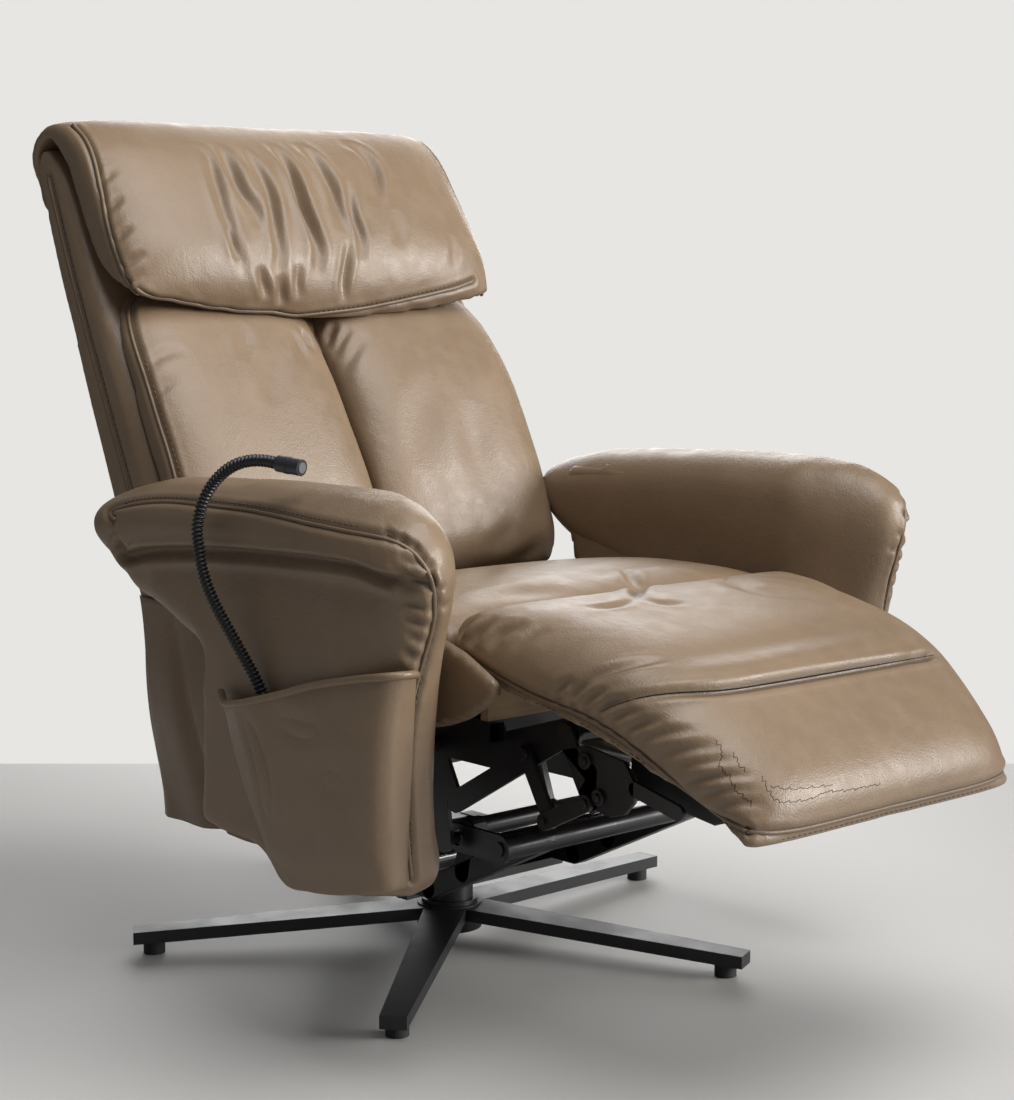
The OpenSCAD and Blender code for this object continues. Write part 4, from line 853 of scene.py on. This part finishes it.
leg_front = left_end + (right_end - left_end) * share
leg_front[:, 1] -= 0.02 * np.sin(math.pi * share[:, 0]) ** 0.5
leg_front[:, 2] -= 0.010 * np.sin(math.pi * share[:, 0]) ** 0.6
leg_lines = [snap(legs, p) for p in (one_side, other_side, leg_front)]
leg_rows = [snap(legs, p + np.array((0, 0, -0.008))) for p in leg_lines]
press(legs, [(p, 0.0035, 0.004, False) for p in leg_lines], 0.7)
leg_piping = piped(legs, leg_lines)
leg_thread = stitched(legs, leg_rows)
cracks_and_crease_shade = []
for spots in leg_cracks:
    fine = spline(spots, int(length_of(spots) / 2))
    wander = np.sin(np.arange(len(fine)) * 2.3) * 0.9 + np.sin(np.arange(len(fine)) * 5.1) * 0.8
    cracks_and_crease_shade.append((trace(legs, fine + np.column_stack([wander, -wander]), 3 * len(fine)), 0.0003))
# A dark cord laid in the bottom of the crease is painted shade: a crisp dark line where the groove lies in
# shadow.
crease = snap(legs, trace(legs, leg_crease, 120), 0, 3)
cracks_and_crease_shade.append((crease, 0.0010 * np.sin(np.linspace(0.02, 3.1, 120)) ** 0.6))
leg_cracks_and_shade = tube("leg_pad_cracks_and_crease_shade", cracks_and_crease_shade, 5, crack_and_shade_paint)
# The pad and what is laid on it keep their place: their transforms are baked and they ride no body.
for each in (legs, leg_piping, leg_thread, leg_cracks_and_shade):
    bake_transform(each)
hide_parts("knee_pad", "footrest_pad")
print("leg pad:", len(leg_folds), "folds")

# %% [markdown]
# ## Rails, board and wings
# Three plain pieces get a fuller form here. The swivel rails run flat over the plate and then slope
# up to the front pivot; a slim black board closes the pad from below; and a shaped steel wing with two
# bolts carries it on each side. `bar` draws a flat link with round ends and `plate` cuts it out.

# %% Rails, board and wings


def bar(a, b, wide, steps=9):
    """The outline of a flat bar with round ends from a to b."""
    a, b = np.array(a, float), np.array(b, float)
    turned = math.atan2(b[1] - a[1], b[0] - a[0])
    around = []
    for centre, start in ((b, turned - math.pi / 2), (a, turned + math.pi / 2)):
        angle = start + np.linspace(0, math.pi, steps)
        around += list(centre + wide / 2 * np.column_stack([np.cos(angle), np.sin(angle)]))
    return around


def plate(name, pieces, bevel=0.0012):
    """Flat pieces as one mesh; each is (outline of (y, z), x from, x to)."""
    points, faces = [], []
    for outline, x0, x1 in pieces:
        start, count = len(points), len(outline)
        points += [(x0, *spot) for spot in outline] + [(x1, *spot) for spot in outline]
        faces += [tuple(start + i for i in range(count)),
                  tuple(start + count + i for i in range(count))[::-1]]
        faces += [(start + i, start + (i + 1) % count, start + count + (i + 1) % count, start + count + i)
                  for i in range(count)]
    made = solid(name, np.array(points) * MM + AT, faces)
    edge = made.modifiers.new("edge", "BEVEL")
    edge.width = bevel
    edge.segments = 2
    edge.limit_method = "ANGLE"
    settle_modifiers(made)
    made.data.polygons.foreach_set("use_smooth", [False] * len(made.data.polygons))
    return made


rail_bars = [bar((101, 107), (-110, 107), 26), bar((-110, 107), (-300, 200), 26),
             bar((-170, 138), (-180, 190), 26)]
rails = plate("rails",
              [(outline, side * 115 - 10, side * 115 + 10) for side in (-1, 1) for outline in rail_bars]
              + [([(84, 95), (113, 95), (113, 119), (84, 119)], -112, 112)])
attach(rails, "swivel_frame")
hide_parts("swivel_rails")
tray = [(-500, 366), (-560, 340), (-624, 303), (-632, 292), (-612, 285), (-560, 292), (-512, 306),
        (-500, 320)]
under_board = plate("under_board", [(tray, -186, 186)], 0.003)
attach(under_board, "footrest")
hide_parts("footrest_board")
fold_pin, crank_pin = (-430, 350), (-468, 286)
wing = [(-426, 333), (-457, 342), (-471, 341), (-516, 335), (-530, 316), (-530, 296), (-517, 282),
        (-497, 276), (-457, 282), (-451, 296), (-461, 308)]
pieces = []
for side in (-1, 1):
    for outline in (bar(fold_pin, crank_pin, 22), bar(crank_pin, (-470, 318), 18), wing,
                    bar((-530, 310), (-588, 297), 16)):
        pieces.append((outline, side * 208 - 2.5, side * 208 + 2.5))
    pieces.append((bar(crank_pin, crank_pin, 10), side * 208, side * 221))
    for spot in [(-463, 328), (-482, 294)]:
        pieces.append((bar(spot, spot, 17, 12), side * 209, side * 214.5))
        pieces.append((bar(spot, spot, 9, 4), side * 209, side * 217))
wings = plate("footrest_wings", pieces, 0.0008)
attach(wings, "footrest")
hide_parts("footrest_brackets")
print("rails:", len(rails.data.vertices), "vertices; board:", len(under_board.data.vertices))

# %% [markdown]
# ## Arms
# An arm is a board dressed in foam: a flat side panel, a fat roll on top that overhangs it, and a
# front edge that turns round in a tight curve. Seen from the side it has one closed outline. `slab`
# fills that outline with even cells, measures how far each corner is from the rim, and gives it the
# thickness that a round edge has there: little at the rim, full inside. The hems get a small
# radius and the top a large one, and the panel's two faces can be any function of place.

# %% Arms


def slab(rim, radii, faces_at, middle, step=5.0, curve=2.2):
    """A closed body from a side outline. rim is a closed (y, z) outline in mm and radii its rounding
    at each point; faces_at(y, z) gives the outer and inner |x| and middle the |x| of the rim."""
    ring = np.array(rim, float)
    closed = np.vstack([ring, ring[:1]])
    run = np.concatenate([[0], np.cumsum(np.linalg.norm(np.diff(closed, axis=0), axis=1))])
    at = np.linspace(0, run[-1], int(run[-1] / 3), endpoint=False)
    fine = np.stack([np.interp(at, run, closed[:, k]) for k in (0, 1)], 1)
    round_at = np.interp(at, run, list(radii) + [radii[0]])
    for _ in range(3):
        fine = (np.roll(fine, 1, 0) + 2 * fine + np.roll(fine, -1, 0)) / 4
        round_at = (np.roll(round_at, 1) + 2 * round_at + np.roll(round_at, -1)) / 4
    low, high = fine.min(0), fine.max(0)
    ys = np.arange(low[0] - step, high[0] + 2 * step, step)
    zs = np.arange(low[1] - step, high[1] + 2 * step, step)
    cy, cz = np.meshgrid((ys[:-1] + ys[1:]) / 2, (zs[:-1] + zs[1:]) / 2, indexing="ij")
    inside = np.zeros(cy.shape, bool)
    for (y0, z0), (y1, z1) in zip(fine, np.roll(fine, -1, 0)):
        if z0 != z1:
            crosses = ((z0 > cz) != (z1 > cz)) & (cy < (y1 - y0) * (cz - z0) / (z1 - z0) + y0)
            inside ^= crosses
    corner = {}
    cells = []
    for i, j in zip(*inside.nonzero()):
        cells.append([corner.setdefault(c, len(corner))
                      for c in ((i, j), (i + 1, j), (i + 1, j + 1), (i, j + 1))])
    spots = np.array([(ys[i], zs[j]) for i, j in corner])
    uses = np.bincount(np.array(cells).ravel(), minlength=len(spots))
    border = uses < 4
    gap = np.linalg.norm(spots[:, None, :] - fine[None], axis=2)
    nearest = gap.argmin(1)
    spots[border] = fine[nearest[border]]
    distance = np.where(border, 0, gap.min(1))
    share = np.exp(-((gap - gap.min(1)[:, None]) / 12.0))
    radius = (share * round_at).sum(1) / share.sum(1)

    def fullness(rounding):
        """How much of its thickness the body has at each spot, with that radius at the rim."""
        t = np.clip(distance / rounding, 0, 1)
        return (1 - (1 - t) ** curve) ** (1 / curve)

    outer, inner = faces_at(spots[:, 0], spots[:, 1])
    centre = middle(spots[:, 0], spots[:, 1])
    # Towards the front the inner face is rounder than the outer one.
    front = np.clip((-290 - spots[:, 0]) / 70, 0, 1)
    x_out = centre + (outer - centre) * fullness(radius)
    x_in = centre + (inner - centre) * fullness(radius * (1 + 0.9 * front))
    count = len(spots)
    points = np.concatenate([np.column_stack([x_out, spots]), np.column_stack([x_in, spots])])
    double = {i: i if border[i] else i + count for i in range(count)}
    points[count:][border] = points[:count][border]
    faces = [tuple(c) for c in cells] + [tuple(double[i] for i in c[::-1]) for c in cells]
    return points, faces


arm_rim = [
    (163, 545, 34), (153, 563, 36), (120, 574, 44), (60, 586, 50), (-40, 592, 50), (-160, 596, 50),
    (-290, 596, 50), (-345, 589, 50), (-384, 573, 50), (-405, 548, 50), (-412, 515, 52), (-406, 480, 54),
    (-394, 445, 54), (-382, 400, 54), (-373, 350, 54), (-368, 300, 54), (-369, 240, 54), (-372, 205, 40),
    (-360, 192, 16), (-310, 186, 8), (-250, 176, 8), (-207, 171, 8), (-190, 178, 8), (-172, 199, 8),
    (-150, 209, 8), (-80, 212, 8), (-46, 219, 8), (-52, 300, 8), (-58, 380, 10), (-62, 404, 14),
    (-48, 414, 24), (-14, 424, 30), (36, 441, 30), (77, 450, 30), (110, 468, 30), (135, 486, 32),
    (154, 508, 32), (162, 524, 32)]
crease_y = np.array([-420, -340, -225, -71, 78, 160])
crease_z = np.array([506, 510, 518, 513, 500, 494])
seam_y = np.array([-420, -390, -340, -246, -95, 31, 94, 160])
seam_z = np.array([520, 548, 563, 570, 571, 574, 563, 540])


def arm_faces(y, z):
    """The outer and inner |x| of an arm: a roll above the crease, a flat panel below it."""
    crease = np.interp(y, crease_y, crease_z)
    seam = np.interp(y, seam_y, seam_z)
    roll = np.clip((z - crease) / np.maximum(seam + 16 - crease, 1), 0, 1)
    puff = np.sin(math.pi * roll) ** 0.7 * 15
    belly = 5 * np.exp(-(((z - 400) / 90) ** 2))
    outer = 397 + puff + belly * (z < crease)
    cheek = 6 * np.exp(-(((z - 520) / 60) ** 2))
    tip = np.clip((-300 - y) / 100, 0, 1)
    outer = outer - 15 * tip
    inner = 283 - cheek + 26 * tip
    thin = np.clip((330 - z) / 60, 0, 1)
    return outer, inner + 40 * thin * np.clip((y + 330) / 60, 0, 1)


def arm_middle(y, z):
    """The |x| of an arm's rim, which runs outwards at the front and at the foot."""
    front = np.clip((-300 - y) / 90, 0, 1)
    return 342 + 10 * front + 28 * np.clip((y + 360) / 160, 0, 1) * np.clip((470 - z) / 60, 0, 1)


arms = {}
for name, side in (("right", -1), ("left", 1)):
    points, faces = slab([p[:2] for p in arm_rim], [p[2] for p in arm_rim], arm_faces, arm_middle)
    points[:, 0] *= side
    arms[name] = solid(f"arm_{name}", points * MM + AT, faces, hide)
    stuff(arms[name], 0.006, pressure=0, smooth=4)
print("arms:", [len(a.data.vertices) for a in arms.values()], "vertices")

# %% [markdown]
# ## Seams of the arms
# The panel is sewn to the top band in one piped seam that runs the whole length of the roll, turns
# down round the front and ends at the hem. The hide is eased into the tight front curve, so short
# puckers stand across the seam there. They were read off the near arm; the far arm is its mirror.

# %% Seams of the arms
seam_spots = [(90, 518), (111, 508), (145, 501), (173, 500), (198, 503), (260, 511), (319, 525), (372, 535),
              (397, 540), (414, 550), (427, 568), (434, 591), (437, 610), (433, 633), (424, 664),
              (414, 700), (407, 745), (407, 807), (410, 849), (413, 880)]
crease_spots = [(100, 556), (128, 557), (147, 553), (198, 552), (260, 556), (319, 563), (350, 568),
                (386, 580), (426, 584)]
pucker_spots = [
    ([(396, 556), (410, 562), (424, 572)], 0.004, 0.004),
    ([(388, 566), (408, 574), (428, 584)], 0.004, 0.004),
    ([(392, 590), (412, 592), (432, 596)], 0.005, 0.004),
    ([(396, 600), (414, 606), (434, 612)], 0.004, 0.004),
    ([(400, 614), (416, 622), (432, 630)], 0.004, 0.004),
    ([(404, 630), (416, 638), (428, 646)], 0.003, 0.004),
    ([(402, 648), (412, 656), (424, 662)], 0.003, 0.004),
    ([(398, 532), (404, 540), (408, 548)], 0.002, 0.003),
    ([(382, 526), (390, 534), (394, 540)], 0.002, 0.003),
    ([(410, 538), (416, 546), (420, 556)], 0.002, 0.003),
    ([(436, 560), (430, 566), (426, 570)], 0.002, 0.003),
    ([(448, 586), (440, 590), (434, 592)], 0.002, 0.003),
    ([(450, 604), (444, 606), (438, 608)], 0.002, 0.003),
    ([(116, 560), (112, 574), (118, 590)], 0.002, 0.008),
    ([(150, 570), (146, 590), (152, 608)], 0.002, 0.01),
    ([(176, 640), (186, 652), (198, 660)], 0.004, 0.006),
]
near_arm = arms["right"]
lines = [(trace(near_arm, crease_spots, 60), 0.009, 0.0048, False)]
lines += [(trace(near_arm, spots), depth, width) for spots, depth, width in pucker_spots]
seam_line = trace(near_arm, seam_spots, 110)
mirror = np.array((-1, 1, 1))
for name, side in (("right", 1), ("left", -1)):
    arm = arms[name]
    turned = [((p[0] - AT) * (mirror if side < 0 else 1) + AT, *p[1:]) for p in lines]
    seam = (seam_line - AT) * (mirror if side < 0 else 1) + AT
    press(arm, [(snap(arm, p[0], 0, 1), *p[1:]) for p in turned], 0.6)
    seam = snap(arm, seam)
    above = snap(arm, beside(seam, -0.009 * side, (-side, 0, 0.0)))
    press(arm, [(seam, 0.003, 0.004, False)], 0.8)
    press(arm, [(above, 0.0006, 0.003, False)], 0.0)
    arm_piping = piped(arm, [seam], 0.0023)
    arm_thread = stitched(arm, [above])
    dress(arm, "chassis", "leather_taupe", 0.85, arm_piping, arm_thread)
    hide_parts(f"arm_panel_{name}", f"arm_roll_{name}", f"arm_inner_{name}")
apron_rim = [(-402, 396), (-380, 377), (-353, 361), (-320, 349), (-290, 342), (-200, 336), (0, 330),
             (52, 334), (66, 346), (66, 428), (52, 438), (-280, 447), (-346, 428), (-392, 406)]
cheek_rim = [(-90, 330), (-90, 560), (20, 572), (90, 566), (104, 545), (98, 500), (84, 440), (60, 380),
             (40, 330)]
# Beside the seat hangs a padded apron, and a cheek closes the arm towards the back.
for side in (-1, 1):
    points, faces = slab(apron_rim, [6] * len(apron_rim), lambda y, z: (271 + 0 * y, 262 + 0 * y),
                         lambda y, z: 266.5 + 0 * y, 7.0)
    points[:, 0] *= side
    aprons = solid("apron_near" if side < 0 else "apron_far", points * MM + AT, faces, hide)
    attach(aprons, "chassis")
    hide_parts("seat_aprons")
    points, faces = slab(cheek_rim, [14] * len(cheek_rim), lambda y, z: (318 + 0 * y, 282 + 0 * y),
                         lambda y, z: 300 + 0 * y, 7.0)
    points[:, 0] *= side
    cheek = solid("cheek_near" if side < 0 else "cheek_far", points * MM + AT, faces, hide)
    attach(cheek, "chassis")
print("arms: seams laid,", len(lines), "creases each")

# %% [markdown]
# ## Side pocket
# A loose piece of hide is sewn to the near panel at the front and foot, and hangs a little open at
# the rear of its mouth, where the gooseneck stands in it. It is a curved sheet with a turned hem.
# Its corners are spots of the picture brought to the panel's plane, and towards the front it bends
# with the arm to which it is sewn.

# %% Side pocket
columns, rows = 48, 40
wall_x = -0.403 + AT[0]
mouth = on_wall(spline([(227, 690), (238, 700), (262, 699), (293, 692), (319, 684), (361, 678), (418, 673)],
                       columns), wall_x)
foot = on_wall(spline([(268, 850), (277, 868), (292, 885), (313, 893), (345, 896), (380, 894), (408, 888)],
                      columns), wall_x)
arm_skin = skin(near_arm)
pocket_points = []
for r in range(rows):
    v = r / (rows - 1)
    for c in range(columns):
        u = c / (columns - 1)
        base = mouth[c] * (1 - v) + foot[c] * v
        hit = arm_skin.ray_cast(eye, (Vector(base) - eye).normalized())[0]
        hit = hit or arm_skin.find_nearest(Vector(base))[0]
        sewn = np.clip((u - 0.5) / 0.5, 0, 1) ** 2
        base = base * (1 - sewn) + (np.array(hit) - (0.0015, 0, 0)) * sewn
        bow = 0.010 * math.sin(math.pi * v) * (1 - u)
        gape = 0.023 * math.exp(-(((u - 0.22) / 0.2) ** 2)) * (1 - v) ** 2.2
        fullness = 0.006 * math.sin(math.pi * min(1, v * 1.1)) ** 0.7 * math.sin(math.pi * u) ** 0.5
        rim = 0.004 * min(1, 6 * min(u, 1 - u, 1 - v))
        pocket_points.append(base + np.array((-gape - fullness - rim, bow, 0)))
pocket = solid("pocket", pocket_points, grid_faces(rows, columns), hide)
thicken(pocket, 0.0024)
pocket.modifiers.new("fine", "SUBSURF").levels = 1
settle_modifiers(pocket)
hem_line = spline(np.array(pocket_points[:columns]) + np.array((-0.0008, 0, -0.001)), 70)
pocket_hem = tube("pocket_hem", [(hem_line, 0.0042)], 12, hide)
press(pocket, [(trace(pocket, spots), depth, width) for spots, depth, width in [
    ([(240, 706), (252, 740), (262, 780), (268, 830)], 0.004, 0.008),
    ([(262, 712), (300, 730), (330, 726)], 0.002, 0.01),
    ([(300, 760), (330, 780), (370, 790)], 0.0015, 0.016),
]], 0.35)
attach(pocket, "chassis")
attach(pocket_hem, "chassis")
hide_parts("side_pocket")

# %% [markdown]
# ## Rear skirt
# Behind the arms a soft curtain of hide hides the works. It is sewn to the foot of the back and falls
# in slack folds to a hem above the base. Its transform is baked where it stands, and it rides no
# body.

# %% Rear skirt
plan_top = [(-296, 60), (-298, 130), (-296, 205), (-285, 238), (-240, 250), (0, 254), (240, 250),
            (285, 238), (296, 205), (298, 130), (296, 60)]
plan_low = [(-290, -30), (-296, 60), (-292, 150), (-282, 190), (-240, 204), (0, 208), (240, 204),
            (282, 190), (292, 150), (296, 60), (290, -30)]
columns, rows = 200, 46
SEWN_AT, HEM_AT = 428, 162
top_run, low_run = spline(plan_top, columns), spline(plan_low, columns)
skirt_points = []
for r in range(rows):
    v = r / (rows - 1)
    for c in range(columns):
        u = c / (columns - 1)
        spot = top_run[c] * (1 - v) + low_run[c] * v
        way = spot / np.linalg.norm(spot)
        wave = math.sin(u * 61) * 4 * v + math.sin(u * 23 + 1.7) * 5 * v**1.5
        tuck = sum(-16 * math.exp(-(((u - at) / 0.012) ** 2)) * v**0.7 for at in (0.1, 0.9))
        belly = 9 * math.sin(math.pi * v) ** 2
        spot = spot + way * (wave * 0.6 + tuck + belly)
        height = SEWN_AT - (SEWN_AT - HEM_AT - 8 * math.cos(u * math.tau)) * v
        skirt_points.append((spot[0], spot[1], height))
skirt = solid("skirt", np.array(skirt_points) * MM + AT, grid_faces(rows, columns), hide)
thicken(skirt, 0.0022)
settle_modifiers(skirt)
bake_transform(skirt)
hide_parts("rear_skirt")

# %% [markdown]
# ## Steel, plastic and boards
# The works are flat bar and tube in black enamel, satin on the brackets and glossy on the tube.
# The base has a slightly rougher powder coat, whose fine orange peel is a noise bump. Rods are bare
# ground steel with turning marks round them. Each of the frame's own slots gets one of these.

# %% Steel, plastic and boards


def enamel(name, tone, rough, grain=400.0, depth=0.0001, coat=0.0):
    p = Paint(name, Base_Color=(*tone, 1), Coat_Weight=coat)
    dust = p.noise(14.0, 4.0)
    p.set("Roughness", rough + 0.14 * p.ramp(dust, 0.35, 0.75))
    p.set("Normal", p.bump(p.noise(grain, 2.0), depth, 0.5))
    return p.material


finishes = {
    "black_base": enamel("powder_coat", (0.012, 0.012, 0.014), 0.38, 700.0, 0.0002),
    "black_steel": enamel("satin_enamel", (0.010, 0.010, 0.012), 0.3),
    "gloss_tube": enamel("gloss_enamel", (0.014, 0.015, 0.018), 0.16, 90.0, 0.0001, 0.5),
    "actuator_black": enamel("housing_plastic", (0.014, 0.014, 0.015), 0.5, 900.0, 0.0003),
    "glide_rubber": enamel("glide_rubber_black", (0.02, 0.02, 0.02), 0.7),
    "hose_black": enamel("sleeve_black", (0.011, 0.011, 0.012), 0.34, 600.0, 0.0002),
    "control_black": enamel("control_plastic", (0.03, 0.03, 0.033), 0.3, 900.0, 0.0002),
    "button_grey": enamel("button_plastic", (0.14, 0.14, 0.145), 0.35, 900.0, 0.0002),
}
steel = Paint("ground_steel", Base_Color=(0.55, 0.56, 0.57, 1), Metallic=1.0)
lines_at = steel.add("Mapping", {}, {"Vector": steel.place(), "Scale": (4.0, 0.2, 4.0)})
steel.set("Roughness", 0.22 + 0.2 * steel.noise(180.0, 2.0, lines_at))
finishes["rod_steel"] = steel.material
strap = Paint("strap_webbing", Base_Color=(0.04, 0.04, 0.042, 1), Roughness=0.85)
weave = strap.add("TexChecker", {}, {"Scale": 420.0, "Vector": strap.place()}, "Fac")
strap.set("Normal", strap.bump(weave, 0.0008, 0.8))
finishes["webbing"] = strap.material
for slot, tone in (("board_black", (0.013, 0.013, 0.014)), ("board_wood", (0.36, 0.25, 0.14))):
    board = Paint(slot + "_finish", Roughness=0.6)
    along = board.add("Mapping", {}, {"Vector": board.place(), "Scale": (1.0, 9.0, 9.0)})
    streak = board.noise(9.0, 5.0, along, 0.6)
    board.set("Base Color",
              board.blend(board.ramp(streak, 0.3, 0.7), (*tone, 1), (*[c * 0.7 for c in tone], 1)))
    board.set("Normal", board.bump(streak, 0.0006, 0.5))
    finishes[slot] = board.material
finishes["leather_taupe"] = hide
painted = 0
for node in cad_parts.values():
    for slot in node.material_slots:
        name = slot.material.name.split(".")[0] if slot.material else ""
        if name in finishes:
            slot.material = finishes[name]
            painted += 1
for piece, slot in ((neck, "hose_black"), (rails, "black_steel"), (under_board, "board_black"),
                    (wings, "black_steel")):
    piece.data.materials.clear()
    piece.data.materials.append(finishes[slot])
print("finishes:", painted, "slots painted")

# %% [markdown]
# ## Floor, light and world
# The chair stands on a plain pale floor that ends where the picture's floor does. The light falls
# from the front right, so the near arm's outer side is in shade and the pillow and seat are bright: a
# wide sun gives the shape, a large lamp behind gives the sheen on the rolls, and one overhead lifts
# the leg pad. The camera sees a plain pale wall behind, which lights nothing.

# %% Floor, light and world
floor_paint = Paint("floor_pale", Base_Color=(0.5, 0.49, 0.475, 1), Roughness=0.6)
ahead = np.array((-math.sin(camera.rotation_euler.z), math.cos(camera.rotation_euler.z)))
aside = np.array((ahead[1], -ahead[0]))
WALL, SIDE = 3.55, 7
corners = [np.array(eye[:2]) + ahead * far + aside * off
           for far, off in ((-4, -SIDE), (-4, SIDE), (WALL, SIDE), (WALL, -SIDE))]
floor = solid("floor", [(*spot, -0.0005) for spot in corners], [(0, 1, 2, 3)], floor_paint.material)


def softbox(name, place, target, size, power):
    """A round lamp at place that shines at target."""
    data = bpy.data.lights.new(name, "AREA")
    data.shape = "DISK"
    data.size = size
    data.energy = power
    lamp = bpy.data.objects.new(name, data)
    lamp.location = place
    lamp.rotation_euler = (Vector(target) - Vector(place)).to_track_quat("-Z", "Y").to_euler()
    scene.collection.objects.link(lamp)


sun = bpy.data.lights.new("key", "SUN")
sun.energy = 3.4
sun.angle = math.radians(28)
sun.color = (1.0, 0.985, 0.965)
key = bpy.data.objects.new("key", sun)
key.rotation_euler = Vector((1.4, -1.65, 0.72)).to_track_quat("Z", "Y").to_euler()
scene.collection.objects.link(key)
softbox("sheen", (2.3, 2.7, 1.7), (0.0, -0.3, 0.45), 3.0, 75)
softbox("top", (0.05, -1.1, 2.9), (0.0, -0.75, 0.4), 2.4, 70)
world = bpy.data.worlds.new("world")
scene.world = world
world.use_nodes = True
tree = world.node_tree
lit = next(n for n in tree.nodes if n.type == "BACKGROUND")
lit.inputs["Color"].default_value = (0.86, 0.87, 0.9, 1)
lit.inputs["Strength"].default_value = 0.14
plain = tree.nodes.new("ShaderNodeBackground")
plain.inputs["Color"].default_value = (0.8, 0.79, 0.77, 1)
choice = tree.nodes.new("ShaderNodeMixShader")
rays = tree.nodes.new("ShaderNodeLightPath")
output = next(n for n in tree.nodes if n.type == "OUTPUT_WORLD")
tree.links.new(rays.outputs["Is Camera Ray"], choice.inputs[0])
tree.links.new(lit.outputs[0], choice.inputs[1])
tree.links.new(plain.outputs[0], choice.inputs[2])
tree.links.new(choice.outputs[0], output.inputs[0])
scene.view_settings.view_transform = "Standard"
print("stage set")
